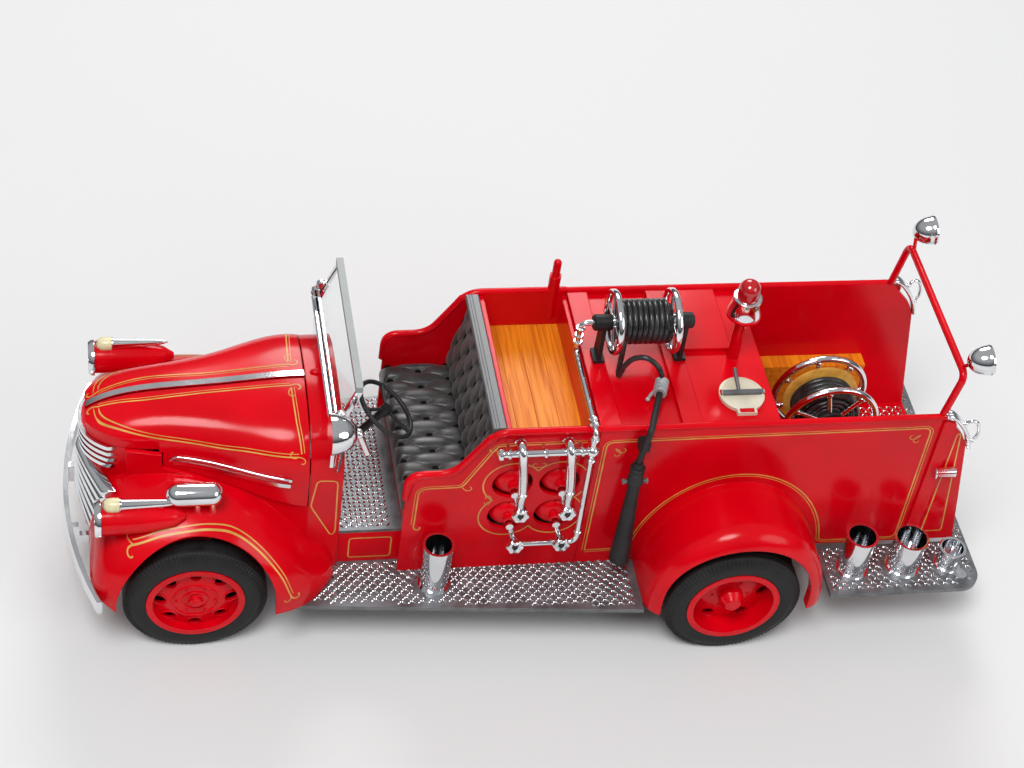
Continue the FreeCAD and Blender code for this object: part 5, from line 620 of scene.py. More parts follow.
def tube(path, radius, sides, hint=(1.0, 0.0, 0.0)):
    """A closed round bar: point(s, a) = path(s) + r (n cos a + b sin a), n and b square to the path."""
    path = np.asarray(path, float)
    along = np.gradient(path, axis=0)
    along /= np.linalg.norm(along, axis=1, keepdims=True)
    side = np.cross(along, hint)
    side /= np.linalg.norm(side, axis=1, keepdims=True)
    up = np.cross(along, side)
    angle = np.linspace(0, 2 * np.pi, sides, endpoint=False)
    reach = np.broadcast_to(radius, len(path))[:, None, None]
    ring = np.cos(angle)[None, :, None] * side[:, None, :] + np.sin(angle)[None, :, None] * up[:, None, :]
    points = (path[:, None, :] + reach * ring).reshape(-1, 3)
    faces = grid_faces(len(path), sides, False, True)
    last = (len(path) - 1) * sides
    faces.append(list(range(sides))[::-1])
    faces.append(list(range(last, last + sides)))
    return points, faces


def beads(places, axis, radius, length, steps=28):
    """Short barrels with eased rims, one at each place, all along one axis."""
    half, ease = length / 2, min(length, radius) / 5
    low = radius - ease
    rim = ((-half, 0), (-half, low), (ease - half, radius), (half - ease, radius), (half, low), (half, 0))
    return gathered([turned(rim, place, axis, steps) for place in places])


def balls(places, radius, steps=20):
    """Spheres: (along, radius) = (-R cos a, R sin a) for a from 0 to pi."""
    turn = np.linspace(0, np.pi, steps // 2 + 1)
    arc = np.stack([-radius * np.cos(turn), radius * np.sin(turn)], axis=-1)
    return gathered([turned(arc, place, UP, steps) for place in places])


def plated(name, shape, body="chassis", smooth=True):
    """A new plated piece."""
    return skin(name, shape, plating, body, smooth)


hose_rubber = new_material("hose_rubber", HOSE_BLACK, 0.22)
clouded(hose_rubber, HOSE_BLACK, HOSE_GREY, 300.0, 0.18, 0.34, 2600.0, 0.3)
angle = np.linspace(0, 2 * np.pi * COIL_TURNS, COIL_TURNS * 48 + 1)
winding = np.stack([
    COIL_START + (COIL_END - COIL_START) * angle / angle[-1],
    -COIL_R * np.cos(angle), REEL_Z + COIL_R * np.sin(angle),
], axis=-1)
core_low, core_high = COIL_START - HOSE_R, COIL_END + HOSE_R
core = ((core_low, 0), (core_low, REEL_CORE_R), (core_high, REEL_CORE_R), (core_high, 0))
wound = gathered([
    tube(winding, HOSE_R, 12),
    turned(core, (0, 0, REEL_Z), ALONG),
    tube(smooth_path(TAIL_POINTS, 8), HOSE_R, 14),
])
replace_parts(skin("reel_hose", wound, hose_rubber, "chassis"), "hose")
for node in ("reel_stand", "horn", "reel_posts", "steering_column", "steering_wheel"):
    dress(node, moulded_black)
plated("reel_rims", gathered([turned(FLANGE_BAND, (x, 0, REEL_Z), ALONG, 72) for x in REEL_ENDS]))
skin("reel_hubs", beads(HUB_PLACES, ALONG, HUB_R, HUB_L), moulded_black, "chassis")

# Valve and horn.
# The reel's hose ends in a pale grey cast valve with a lever. A black tube goes on over the rail to a cone
# horn, which hangs from a bright pin.
VALVE_TOP = (29.4, -12.5, 72.6)
VALVE_LOW = (27.9, -16.6, 72.45)
VALVE_FROM = (26.5, -17.2)
VALVE_RINGS = (0.05, 0.35, 0.62, 0.95)
VALVE_RING_R, VALVE_RING_L = 1.83, 0.55
LEVER_LINE = ((28.7, -14.6, 72.6), (27.6, -14.9, 72.3), (26.2, -15.4, 71.0), (25.4, -15.8, 69.6))
LEVER_RADII = np.linspace(0.6, 0.42, 19)
LEVER_KNOB_R = 0.62
PIN_X, PIN_HALF = 21.8, 3.1
PIN_R, PIN_END_R, PIN_END_L = 0.52, 0.8, 0.6
PIN_YZ = (-29.54, 53.56)
COLLAR_PLACES = ((21.8, -29.3, 58.4), (21.8, -29.4, 56.4), (21.8, -29.5, 54.6))
COLLAR_LEAN = (0, 0.05, 1)
COLLAR_R, COLLAR_L = 2.0, 0.7
GREY_CAST = (0.5, 0.51, 0.52, 1)
GREY_CAST_DARK = (0.36, 0.37, 0.38, 1)
cast_grey = new_material("cast_grey", GREY_CAST, 0.35, 0.3)
clouded(cast_grey, GREY_CAST_DARK, GREY_CAST, 240.0, 0.28, 0.45, 2800.0, 0.4)
part_finish("horn", cast_grey, lambda x, y, z: (x > VALVE_FROM[0]) & (y > VALVE_FROM[1]))
valve_run = np.array(VALVE_LOW) - np.array(VALVE_TOP)
ring_places = [np.array(VALVE_TOP) + valve_run * share for share in VALVE_RINGS]
valve_parts = gathered([
    beads(ring_places, valve_run, VALVE_RING_R, VALVE_RING_L),
    tube(smooth_path(LEVER_LINE, 6), LEVER_RADII, 12, UP),
    balls([LEVER_LINE[-1]], LEVER_KNOB_R),
])
skin("valve_fittings", valve_parts, cast_grey, "chassis")
pin_ends = [(PIN_X - PIN_HALF, *PIN_YZ), (PIN_X + PIN_HALF, *PIN_YZ)]
pin = gathered([
    tube(np.linspace(*pin_ends, 8), PIN_R, 14, UP), beads(pin_ends, ALONG, PIN_END_R, PIN_END_L),
])
skin("horn_pin", pin, satin_grey, "chassis")
collars = beads(COLLAR_PLACES, COLLAR_LEAN, COLLAR_R, COLLAR_L)
skin("horn_rings", collars, moulded_black, "chassis")

# Rear reel.
# Hose is wound on a drum with yellow brown sides between two plated spoked wheels.
REEL2 = (82.4, 0.0, 47.4)
DRUM_HALF = 4.8
DRUM_R = 8.8
CORE2_HALF, CORE2_R = 4.7, 7.4
HOSE2_R = 0.8
HOSE2_TURNS = 5
FACE_COIL = (3.9, 8.0)
FACE_TURNS = 3
FACE_COIL_WIRE, FACE_COIL_IN = 0.7, 0.15
CHEEK = ((4.3, 1.0), (4.3, 10.2), (4.5, 10.5), (5.0, 10.5), (5.2, 10.2), (5.2, 1.0))
WHEEL2_R = 12.7
WHEEL2_HALF = 6.0
SPOKES2 = 7
HUB2_R, HUB2_L = 4.6, 1.9
WHEEL2_WIRE = 0.95
SPOKE2_RADII = np.linspace(0.8, 0.68, 5)
KNOB_AT, KNOB_R = 0.9, 1.0
DRUM_BROWN = (0.72, 0.4, 0.07, 1)
DRUM_BROWN_DARK = (0.5, 0.24, 0.03, 1)

drum_side = new_material("drum_side", DRUM_BROWN, 0.45)
clouded(drum_side, DRUM_BROWN_DARK, DRUM_BROWN, 260.0, 0.4, 0.6, 2200.0, 0.4)
angle = np.linspace(0, 2 * np.pi * HOSE2_TURNS, HOSE2_TURNS * 56 + 1)
winding = np.stack([
    REEL2[0] + (DRUM_R - HOSE2_R) * np.cos(angle),
    (DRUM_HALF - HOSE2_R) * (2 * angle / angle[-1] - 1),
    REEL2[2] + (DRUM_R - HOSE2_R) * np.sin(angle),
], axis=-1)
core = ((-CORE2_HALF, 0), (-CORE2_HALF, CORE2_R), (CORE2_HALF, CORE2_R), (CORE2_HALF, 0))
turn = np.linspace(0, 2 * np.pi * FACE_TURNS, FACE_TURNS * 56 + 1)
reach = FACE_COIL[0] + (FACE_COIL[1] - FACE_COIL[0]) * turn / turn[-1]
face_coil = np.stack([
    REEL2[0] + reach * np.cos(turn), np.full(len(turn), FACE_COIL_IN - DRUM_HALF),
    REEL2[2] + reach * np.sin(turn),
], axis=-1)
wound = gathered([
    tube(winding, HOSE2_R, 12, ACROSS), turned(core, REEL2, ACROSS, 64),
    tube(face_coil, FACE_COIL_WIRE, 12, ACROSS),
])
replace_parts(skin("rear_reel_hose", wound, hose_rubber, "rear_reel"), "rear_hose")
skin("drum_cheek", turned(CHEEK, REEL2, ACROSS, 72), drum_side, "rear_reel")
hub_places = [(REEL2[0], side * WHEEL2_HALF, REEL2[2]) for side in (-1, 1)]
hubs = beads(hub_places, ACROSS, HUB2_R, HUB2_L, 40)
skin("drum_hubs", hubs, moulded_black, "rear_reel")
spoke = 2 * np.pi * np.arange(SPOKES2) / SPOKES2
feet = [
    (REEL2[0] + WHEEL2_R * np.cos(a), side * WHEEL2_HALF, REEL2[2] + WHEEL2_R * np.sin(a))
    for side in (-1, 1) for a in spoke
]
spokes = [
    tube(np.linspace((REEL2[0], place[1], REEL2[2]), place, 5), SPOKE2_RADII, 12, ACROSS)
    for place in feet
]
wire = np.linspace(0, 2 * np.pi, 14, endpoint=False)
for side in (-1, 1):
    round_it = (WHEEL2_WIRE * np.cos(wire), WHEEL2_WIRE * np.sin(wire))
    section = np.stack([side * WHEEL2_HALF + round_it[0], WHEEL2_R + round_it[1]], axis=-1)
    spokes.append(turned(section, REEL2, ACROSS, 96))
knobs = [(REEL2[0] + (x - REEL2[0]) * KNOB_AT, y, REEL2[2] + (z - REEL2[2]) * KNOB_AT) for x, y, z in feet]
spokes.append(balls(knobs, KNOB_R, 14))
plated("reel_wheels", gathered(spokes), "rear_reel")

# Wood.
# The compartment floor and the two benches in the bed are planks, stained orange brown, with the grain
# running along each plank.
WOOD = (0.84, 0.27, 0.012, 1)
WOOD_DARK = (0.6, 0.15, 0.006, 1)
GRAIN_STRETCH = (1.0, 0.06, 1.0)
GRAIN_SCALE = 900.0
GRAIN_DEPTH = 0.00004
STAIN_STOPS = (0.36, 0.62)
WOOD_ROUGH = (0.55, 0.32)
wood_stain = new_material("wood_stain", WOOD, 0.4, shine=DARK_SHINE)
tree = wood_stain.node_tree
shader = tree.nodes["Principled BSDF"]
place = tree.nodes.new("ShaderNodeTexCoord")
stretch = tree.nodes.new("ShaderNodeMapping")
stretch.inputs["Scale"].default_value = GRAIN_STRETCH
fibre = tree.nodes.new("ShaderNodeTexNoise")
fibre.inputs["Scale"].default_value = GRAIN_SCALE
fibre.inputs["Detail"].default_value = 6.0
fibre.inputs["Distortion"].default_value = 0.6
stain = tree.nodes.new("ShaderNodeValToRGB")
for stop, place_on, colour in zip(stain.color_ramp.elements, STAIN_STOPS, (WOOD_DARK, WOOD)):
    stop.position, stop.color = place_on, colour
sheen = tree.nodes.new("ShaderNodeMapRange")
sheen.inputs["To Min"].default_value, sheen.inputs["To Max"].default_value = WOOD_ROUGH
ridge = tree.nodes.new("ShaderNodeBump")
ridge.inputs["Strength"].default_value = 0.5
ridge.inputs["Distance"].default_value = GRAIN_DEPTH
for source, target in (
    (place.outputs["Object"], stretch.inputs["Vector"]), (stretch.outputs["Vector"], fibre.inputs["Vector"]),
    (fibre.outputs["Fac"], stain.inputs["Fac"]), (fibre.outputs["Fac"], sheen.inputs["Value"]),
    (fibre.outputs["Fac"], ridge.inputs["Height"]), (stain.outputs["Color"], shader.inputs["Base Color"]),
    (sheen.outputs["Result"], shader.inputs["Roughness"]), (ridge.outputs["Normal"], shader.inputs["Normal"]),
):
    tree.links.new(source, target)
dress("wood", wood_stain)

# Windscreen and lamp glass.
# The screen is a clear moulded pane in a plated frame with a grey top bar. The headlights have clear lenses
# behind plated rims.
GLASS = (0.93, 0.96, 0.97, 1)
GLASS_PALE = (0.96, 0.98, 0.98, 1)
GLASS_IOR = 1.2
GREY_BAR_Z = 81.9
SCREEN_GREY = (0.3, 0.315, 0.31, 1)
SCREEN_GREY_DARK = (0.22, 0.235, 0.23, 1)
SCREEN_STRIPS = (
    ((-57.9, 71.5), (-57.9, 72.0), (-57.5, 72.2), (-57.3, 71.6)),
    ((-56.5, 73.6), (-56.3, 74.2), (-55.9, 74.2), (-56.0, 73.4)),
)
SCREEN_HALF = 23.3
KNUCKLE_R, KNUCKLE_L = 1.5, 1.5
HINGE_PLACES = ((-56.6, -23.6, 73.4), (-56.6, 23.6, 73.4), (-55.4, -23.6, 75.6), (-55.4, 23.6, 75.6))
clear = new_material("clear", GLASS, 0.02)
clear_shader = clear.node_tree.nodes["Principled BSDF"]
clear_shader.inputs["Transmission Weight"].default_value = 1.0
clear_shader.inputs["IOR"].default_value = GLASS_IOR
clouded(clear, GLASS, GLASS_PALE, 60.0, 0.0, 0.04, 400.0, 0.03)
for node in ("windshield_glass", "lamp_lenses"):
    dress(node, clear)
dress("windshield_frame", plating)
screen_grey = new_material("screen_grey", SCREEN_GREY, 0.45, 0.2)
clouded(screen_grey, SCREEN_GREY_DARK, SCREEN_GREY, 120.0, 0.4, 0.52, 2400.0, 0.2)
part_finish("windshield_frame", screen_grey, lambda x, y, z: z > GREY_BAR_Z)
strips = gathered([carried(strip, -SCREEN_HALF, SCREEN_HALF) for strip in SCREEN_STRIPS])
plated("screen_strips", strips, smooth=False)
plated("screen_knuckles", beads(HINGE_PLACES, ACROSS, KNUCKLE_R, KNUCKLE_L))

# Beacon, markers and rear lamps.
# A red lens sits on a plated tapered collar. Each wall has a marker lamp, half red and half plated, and the
# two lamps on the hoop have a plated bowl and a clear lens facing back.
BEACON_FOOT = (52.0, 0.0, 84.0)
BASE_PLACE, BASE_R, BASE_L = (52.0, 0.0, 84.2), 4.6, 1.0
BEACON_LENS_Z = 90.02
MARKER_CAP_X = 108.4
BEACON_SLEEVE = (
    (0.4, 3.0), (0.4, 4.3), (0.8, 4.4), (1.2, 4.25), (5.3, 3.75), (5.6, 3.9), (6.1, 3.85), (6.3, 3.6),
    (6.3, 2.8),
)
LENS_RED = (0.55, 0.004, 0.01, 1)
LENS_RED_DEEP = (0.38, 0.002, 0.006, 1)
REAR_LAMPS = ((104.8, -24.9, 88.9), (104.8, 24.9, 88.9))
LAMP_R = 3.9
LAMP_DEEP = 5.4
LAMP_LIP = ((5.7, 4.1), (6.2, 4.0), (6.2, 3.2), (5.6, 3.1), (5.6, 0))
LAMP_GLASS = ((0.0, 0), (0.0, 3.2), (0.5, 2.9), (1.0, 1.8), (1.2, 0))
GLASS_IN = 0.25
LAMP_AIM = (1.0, 0.0, 0.12)
MARKERS = ((105.6, -27.5, 49.8), (105.6, 27.5, 49.8))
MARKER_R, MARKER_L = 1.75, 0.5
lens_red = new_material("lens_red", LENS_RED, 0.08)
lens_red.node_tree.nodes["Principled BSDF"].inputs["Coat Weight"].default_value = 0.6
clouded(lens_red, LENS_RED_DEEP, LENS_RED, 200.0, 0.06, 0.12, 1200.0, 0.1)
dress("beacon", plating)
part_finish("beacon", lens_red, lambda x, y, z: z > BEACON_LENS_Z)
dress("rear_markers", lens_red)
part_finish("rear_markers", plating, lambda x, y, z: x > MARKER_CAP_X)
skin("beacon_base", beads([BASE_PLACE], UP, BASE_R, BASE_L, 48), red_enamel, "chassis")
plated("beacon_sleeve", turned(BEACON_SLEEVE, BEACON_FOOT, UP, 56))
turn = np.radians(np.linspace(0, 90, 12))
bowl = np.stack([LAMP_DEEP * (1 - np.cos(turn)), LAMP_R * np.sin(turn)], axis=-1)
lamp_shells = [turned(np.concatenate([bowl, LAMP_LIP]), lamp, LAMP_AIM, 56) for lamp in REAR_LAMPS]
aim = np.array(LAMP_AIM) / np.linalg.norm(LAMP_AIM)
glass_places = [np.array(lamp) + aim * (LAMP_DEEP + GLASS_IN) for lamp in REAR_LAMPS]
lenses = gathered([turned(LAMP_GLASS, place, LAMP_AIM, 48) for place in glass_places])
skin("rear_lamp_lenses", lenses, clear, "chassis")
plated("marker_caps", beads(MARKERS, ALONG, MARKER_R, MARKER_L))

# Fill lid.
# A cream disc hinged on a red ear, with a dark grey bar and lever held by plated pins.
LID = (50.9, -14.8, 69.45)
LID_BAR_Z = 69.62
LID_BAR_HALF = 5.6
LID_PIN_Z, LID_PIN_R, LID_PIN_L = 70.0, 0.95, 0.6
LID_RIM = ((-0.15, 5.2), (-0.15, 5.95), (0.1, 6.05), (0.25, 5.8), (0.25, 5.2))
LATCH = ((49.0, 69.5), (49.0, 69.75), (52.8, 69.75), (52.8, 69.5))
LATCH_YS = (-21.6, -20.3)
CREAM = (0.68, 0.63, 0.5, 1)
CREAM_DARK = (0.56, 0.5, 0.37, 1)
LID_GREY = (0.12, 0.12, 0.125, 1)
LID_GREY_DARK = (0.07, 0.07, 0.075, 1)
cream = new_material("cream", CREAM, 0.35)
clouded(cream, CREAM_DARK, CREAM, 130.0, 0.3, 0.45, 2200.0, 0.3)
lid_grey = new_material("lid_grey", LID_GREY, 0.35)
clouded(lid_grey, LID_GREY_DARK, LID_GREY, 200.0, 0.3, 0.42, 2400.0, 0.3)
dress("fill_lid", cream)
part_finish("fill_lid", lid_grey, lambda x, y, z: z > LID_BAR_Z)
pin_places = [(LID[0] + side * LID_BAR_HALF, LID[1], LID_PIN_Z) for side in (-1, 1)]
plated("lid_pins", beads(pin_places, ALONG, LID_PIN_R, LID_PIN_L), "fill_lid")
skin("lid_latch", carried(LATCH, *LATCH_YS), red_enamel, "fill_lid", False)
skin("lid_rim", turned(LID_RIM, LID, UP, 72), cream, "fill_lid")

# Grille.
# It is two plated mouldings pushed onto the nose: four bars that wrap round it under the hood, and a wide
# ribbed piece between the lamps. Its face is x = middle + sweep |t|^1.25 - rib |sin(6 pi s)|^0.8, with t from
# -1 to 1 across and s from 0 to 1 upwards.
UPPER_GRILLE_LOW = 45.0
GRILLE_LOW, GRILLE_HIGH = 28.9, 44.3
GRILLE_HALF = 17.6
GRILLE_MIDDLE = (-119.7, -119.2)
GRILLE_SWEEP = (3.4, 6.6)
GRILLE_DEPTH = 2.6
GRILLE_RIBS = 6
GRILLE_RIB_OUT = 0.7
GRILLE_SWEEP_POWER, GRILLE_RIB_POWER = 1.25, 0.8
GRILLE_SIDE_POWER, GRILLE_TOP_POWER, GRILLE_EDGE_POWER = 60, 24, 0.25
GRILLE_ROWS, GRILLE_COLUMNS = 97, 81


def trimmed(mesh, unwanted):
    """The mesh without the points that unwanted(x, y, z), in millimetres, picks."""
    places = np.empty(len(mesh.vertices) * 3)
    mesh.vertices.foreach_get("co", places)
    gone = np.flatnonzero(unwanted(*(places.reshape(-1, 3) / MM).T))
    form = bmesh.new()
    form.from_mesh(mesh)
    form.verts.ensure_lookup_table()
    bmesh.ops.delete(form, geom=[form.verts[index] for index in gone], context="VERTS")
    form.to_mesh(mesh)
    form.free()
    return mesh


upper_mesh = trimmed(nodes["grille"].data.copy(), lambda x, y, z: z < UPPER_GRILLE_LOW)
upper_grille = bpy.data.objects.new("grille_upper", upper_mesh)
bpy.context.scene.collection.objects.link(upper_grille)
dress("grille_upper", plating)
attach(upper_grille, "chassis")
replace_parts(upper_grille, "grille")

s, t = np.meshgrid(np.linspace(0, 1, GRILLE_ROWS), np.linspace(-1, 1, GRILLE_COLUMNS), indexing="ij")
t = np.sin(np.pi / 2 * t)
middle = GRILLE_MIDDLE[0] + (GRILLE_MIDDLE[1] - GRILLE_MIDDLE[0]) * s
sweep = GRILLE_SWEEP[0] + (GRILLE_SWEEP[1] - GRILLE_SWEEP[0]) * s
edge = np.abs((1 - t ** GRILLE_SIDE_POWER) * (1 - (2 * s - 1) ** GRILLE_TOP_POWER)) ** GRILLE_EDGE_POWER
rib = GRILLE_RIB_OUT * np.abs(np.sin(np.pi * GRILLE_RIBS * s)) ** GRILLE_RIB_POWER
behind = middle + sweep * np.abs(t) ** GRILLE_SWEEP_POWER + GRILLE_DEPTH
z = GRILLE_LOW + (GRILLE_HIGH - GRILLE_LOW) * s
ribbed = np.stack([behind - (GRILLE_DEPTH + rib) * edge, GRILLE_HALF * t, z], axis=-1)
flat = np.stack([behind, GRILLE_HALF * t, z], axis=-1)
ribbed_faces = grid_faces(GRILLE_ROWS, GRILLE_COLUMNS)
both = gathered([(ribbed, ribbed_faces), (flat, [face[::-1] for face in ribbed_faces])])
plated("grille_lower", both)

# Front brake drums.
# A dark steel drum stands behind the windows of each front disc and turns with the wheel.
DRUM_OUTLINE = ((-0.3, 2.4), (-0.3, 11.2), (-0.9, 11.2), (-0.9, 2.4))
for side, name in SIDES:
    drum = turned(DRUM_OUTLINE, (FRONT_X, side * FRONT_TYRE_Y, TYRE_R), (0, side, 0), 64)
    skin("brake_drum_" + name, drum, moulded_black, "wheel_front_" + name)

# Front wheel pressings.
# The front discs are pressed with two round beads about the hub and a raised lip about every window. They
# are sprayed with the same red enamel as the discs.
DISC_FACE = 2.56
DISC_SLOPE = 0.291
WINDOW_FACE = 1.63
WINDOW_COUNT, WINDOW_R, WINDOW_REACH = 8, 1.9, 9.2
WINDOW_LIP_R = 0.3
OUTER_BEAD = ((-0.2, 5.5), (0.28, 5.62), (0.4, 5.85), (0.28, 6.08), (-0.2, 6.2))
INNER_BEAD = ((-0.2, 2.9), (0.35, 3.02), (0.48, 3.3), (0.35, 3.58), (-0.2, 3.7))
HUB_BUTTON = ((0.8, 0), (0.8, 1.35), (1.2, 1.2), (1.45, 0.7), (1.5, 0))


def window_lips(centre, side):
    """Rings about the windows: the point at angle a on window k is R cos a further out and R sin a round the
    wheel, and follows the cone of the disc."""
    turn = np.linspace(0, 2 * np.pi, 25)
    out, round_it = WINDOW_R * np.cos(turn), WINDOW_R * np.sin(turn)
    lips = []
    for k in range(WINDOW_COUNT):
        way = 2 * np.pi * k / WINDOW_COUNT
        line = np.stack([
            centre[0] + (WINDOW_REACH + out) * np.cos(way) - round_it * np.sin(way),
            centre[1] + side * (WINDOW_FACE - DISC_SLOPE * out),
            centre[2] + (WINDOW_REACH + out) * np.sin(way) + round_it * np.cos(way),
        ], axis=-1)
        lips.append(tube(line, WINDOW_LIP_R, 8, ACROSS))
    return gathered(lips)


for side, name in SIDES:
    centre = (FRONT_X, side * FRONT_TYRE_Y, TYRE_R)
    face = (FRONT_X, side * (FRONT_TYRE_Y + DISC_FACE), TYRE_R)
    pressings = gathered([
        turned(OUTER_BEAD, face, (0, side, 0), 64), turned(INNER_BEAD, face, (0, side, 0), 48),
        turned(HUB_BUTTON, face, (0, side, 0), 32), window_lips(centre, side),
    ])
    skin("disc_pressings_" + name, pressings, red_enamel, "wheel_front_" + name)

# Pod trim and small castings on the nose and tail.
# Each headlight pod carries a cream parking lamp with a plated spear behind it. A red teardrop covers the
# cowl vent, and a boss is riveted on each rear corner of the tailboard.
PARK_LAMP = ((0.0, 0), (0.25, 1.1), (1.0, 1.75), (2.2, 1.9), (3.9, 1.85), (4.1, 1.5), (4.1, 0))
PARK_PLACES = ((-113.4, -28.5, 51.3), (-113.4, 28.5, 51.3))
SPEAR_FROM, SPEAR_LENGTH, SPEAR_RISE = 4.0, 14.8, 0.1
SPEAR_RING_AT, SPEAR_RING_R, SPEAR_RING_L = 4.2, 1.7, 0.5
PARK_CREAM = (0.75, 0.68, 0.42, 1)
PARK_CREAM_DARK = (0.62, 0.53, 0.3, 1)
SPEAR_RADII = np.concatenate([np.linspace(1.5, 0.95, 11), (0.8, 0.55, 0.2)])
TEARDROP = ((0.0, 0), (0.5, 0.7), (1.6, 1.0), (3.6, 0.75), (6.0, 0.0))
TEARDROP_FRONT = (-60.4, 0, 67.2)
BOSS = ((0.0, 0), (0.0, 2.0), (0.3, 2.0), (0.45, 1.6), (0.45, 0.7), (0.7, 0.6), (0.7, 0))
BOSS_PLACES = ((118.0, -37.8, 19.0), (118.0, 37.8, 19.0))
park_cream = new_material("park_cream", PARK_CREAM, 0.2)
clouded(park_cream, PARK_CREAM_DARK, PARK_CREAM, 160.0, 0.15, 0.3, 1800.0, 0.2)
lamps = gathered([turned(PARK_LAMP, place, ALONG, 40) for place in PARK_PLACES])
skin("parking_lamps", lamps, park_cream, "chassis")
spears = []
for x, y, z in PARK_PLACES:
    line = np.linspace((x + SPEAR_FROM, y, z), (x + SPEAR_FROM + SPEAR_LENGTH, y, z + SPEAR_RISE), 14)
    spears.append(tube(line, SPEAR_RADII, 24, UP))
    spears.append(beads([(x + SPEAR_RING_AT, y, z)], ALONG, SPEAR_RING_R, SPEAR_RING_L))
plated("pod_spears", gathered(spears))
skin("cowl_teardrop", turned(TEARDROP, TEARDROP_FRONT, ALONG, 28), red_enamel, "chassis")
plated("tail_bosses", gathered([turned(BOSS, place, UP, 36) for place in BOSS_PLACES]))

# Bottle valves and pipe fittings.
# Each left bottle's valve has a plated lobed handwheel with a dark middle. Clips hold the manifold, which has
# a cap at its front end, a junction ball over the rear drop, and ferrules where the feed climbs to the reel.
WHEEL_PLACES = ((-7.6, -31.6, 44.3), (4.8, -31.6, 44.3), (-7.6, -31.6, 32.0), (4.8, -31.6, 32.0))
HANDWHEEL = (
    (0.1, 0), (0.1, 1.5), (0.25, 2.1), (-0.35, 2.25), (-0.75, 2.0), (-0.8, 1.2), (-0.55, 0.9), (-0.55, 0),
)
WHEEL_LOBES, WHEEL_SWING = 6, 0.09
WHEEL_CAP_OUT, WHEEL_CAP_R, WHEEL_CAP_L = 0.6, 0.75, 0.35
CLIP_XS = (-12.6, -3.3, 6.2)
CLIP_WIRE = 0.5
BOTTLE_XS = (-9.5, 2.9)
DROP_LINE = (
    (0.0, -26.6, 66.6), (0.0, -28.4, 67.3), (0.1, -30.2, 66.7), (0.4, -31.0, 64.0), (1.2, -31.0, 58.0),
    (1.7, -31.0, 52.0), (1.6, -30.9, 48.4), (1.9, -30.8, 45.0),
)
DROP_RADII = np.linspace(1.3, 0.95, (len(DROP_LINE) - 1) * 8 + 1)
WALL_Y = -25.9
MANIFOLD = (-29.2, 65.4)
PIPE_END, PIPE_BALL = (-14.8, *MANIFOLD), (8.9, *MANIFOLD)
FERRULES = ((8.9, 0.0, 80.4), (8.9, 0.0, 77.9), (8.9, 0.0, 75.6))
RAIL_FERRULES = ((8.9, -26.4, 72.2), (8.9, -24.6, 72.2))
DROP_FERRULES = ((8.9, -29.2, 69.6), (8.9, -29.5, 62.4), (8.9, -30.6, 36.0))
wheels = [turned(HANDWHEEL, place, ACROSS, 54, WHEEL_LOBES, WHEEL_SWING) for place in WHEEL_PLACES]
plated("handwheels", gathered(wheels))
wheel_caps = beads([(x, y - WHEEL_CAP_OUT, z) for x, y, z in WHEEL_PLACES], ACROSS, WHEEL_CAP_R, WHEEL_CAP_L)
skin("handwheel_caps", wheel_caps, moulded_black, "chassis")
arms = [np.linspace((x, WALL_Y, MANIFOLD[1]), (x, *MANIFOLD), 6) for x in CLIP_XS]
fittings = [beads([(x, *MANIFOLD) for x in CLIP_XS], ALONG, 1.45, 0.9)]
fittings += [tube(arm, CLIP_WIRE, 12, UP) for arm in arms]
fittings += [
    beads([PIPE_END], ALONG, 1.7, 1.4), balls([PIPE_BALL], 1.75, 28),
    beads(FERRULES, UP, 1.25, 0.8), beads(RAIL_FERRULES, ACROSS, 1.2, 0.7),
    beads(DROP_FERRULES, UP, 1.2, 0.9),
]
for x in BOTTLE_XS:
    drop = np.array(DROP_LINE) + (x, 0, 0)
    fittings += [
        tube(smooth_path(drop, 8), DROP_RADII, 18, ALONG),
        beads([drop[0] + (0, 0.3, 0)], (0, 1, 0.2), 1.6, 0.8), beads([drop[5]], (0, 0.1, 1), 1.35, 0.8),
    ]
plated("pipe_fittings", gathered(fittings))

# Rear corner handles and posts.
# Three plated bars lie side by side round each wall's rear top corner, with a small loop standing out behind
# them. A raised red strip runs down the wall under each foot of the hoop.
CORNER_LINE = ((103.6, 70.7), (105.4, 70.5), (107.8, 68.4), (110.2, 65.2), (112.0, 61.8), (113.1, 58.2))
STRIP_YS = (24.9, 25.9, 26.9)
STRIP_R = 0.58
LOOP_LINE = (
    (109.6, 26.6, 67.6), (111.2, 27.0, 68.8), (112.9, 27.1, 68.0), (113.9, 27.1, 65.4), (113.9, 27.0, 62.9),
    (113.0, 26.8, 61.3),
)
LOOP_R, LOOP_END_R = 0.5, 0.85
POST_YS = (25.9, 26.8)
POST_STRIP = ((103.7, 23.6), (103.7, 68.4), (104.1, 68.9), (106.9, 68.0), (107.3, 67.4), (107.3, 23.6))
strips, posts = [], []
for side in (-1, 1):
    for y in STRIP_YS:
        line = [(x, side * y, z) for x, z in CORNER_LINE]
        strips.append(tube(smooth_path(line, 6), STRIP_R, 14, ACROSS))
    loop = np.array(LOOP_LINE) * (1, side, 1)
    strips.append(tube(smooth_path(loop, 8), LOOP_R, 14, ACROSS))
    strips.append(balls([loop[0], loop[-1]], LOOP_END_R))
    posts.append(carried(POST_STRIP, *sorted(side * y for y in POST_YS)))
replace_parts(plated("rear_lamps_and_handles", gathered(strips + lamp_shells)), "rear_brightwork")
skin("wall_posts", gathered(posts), red_enamel, "chassis", False)

# Tub rim.
# The top edge of the casting's side walls is a rolled bead that follows their outline with eased corners. It
# is part of the red casting.
RIM_LINE = ((-37.0, 46.0), (-36.9, 54.9), (-25.2, 54.9), (-15.6, 69.7), (11.2, 69.7))
RIM_EASE = 4.0
RIM_BEAD_R = 1.0
RIM_Y = 25.7


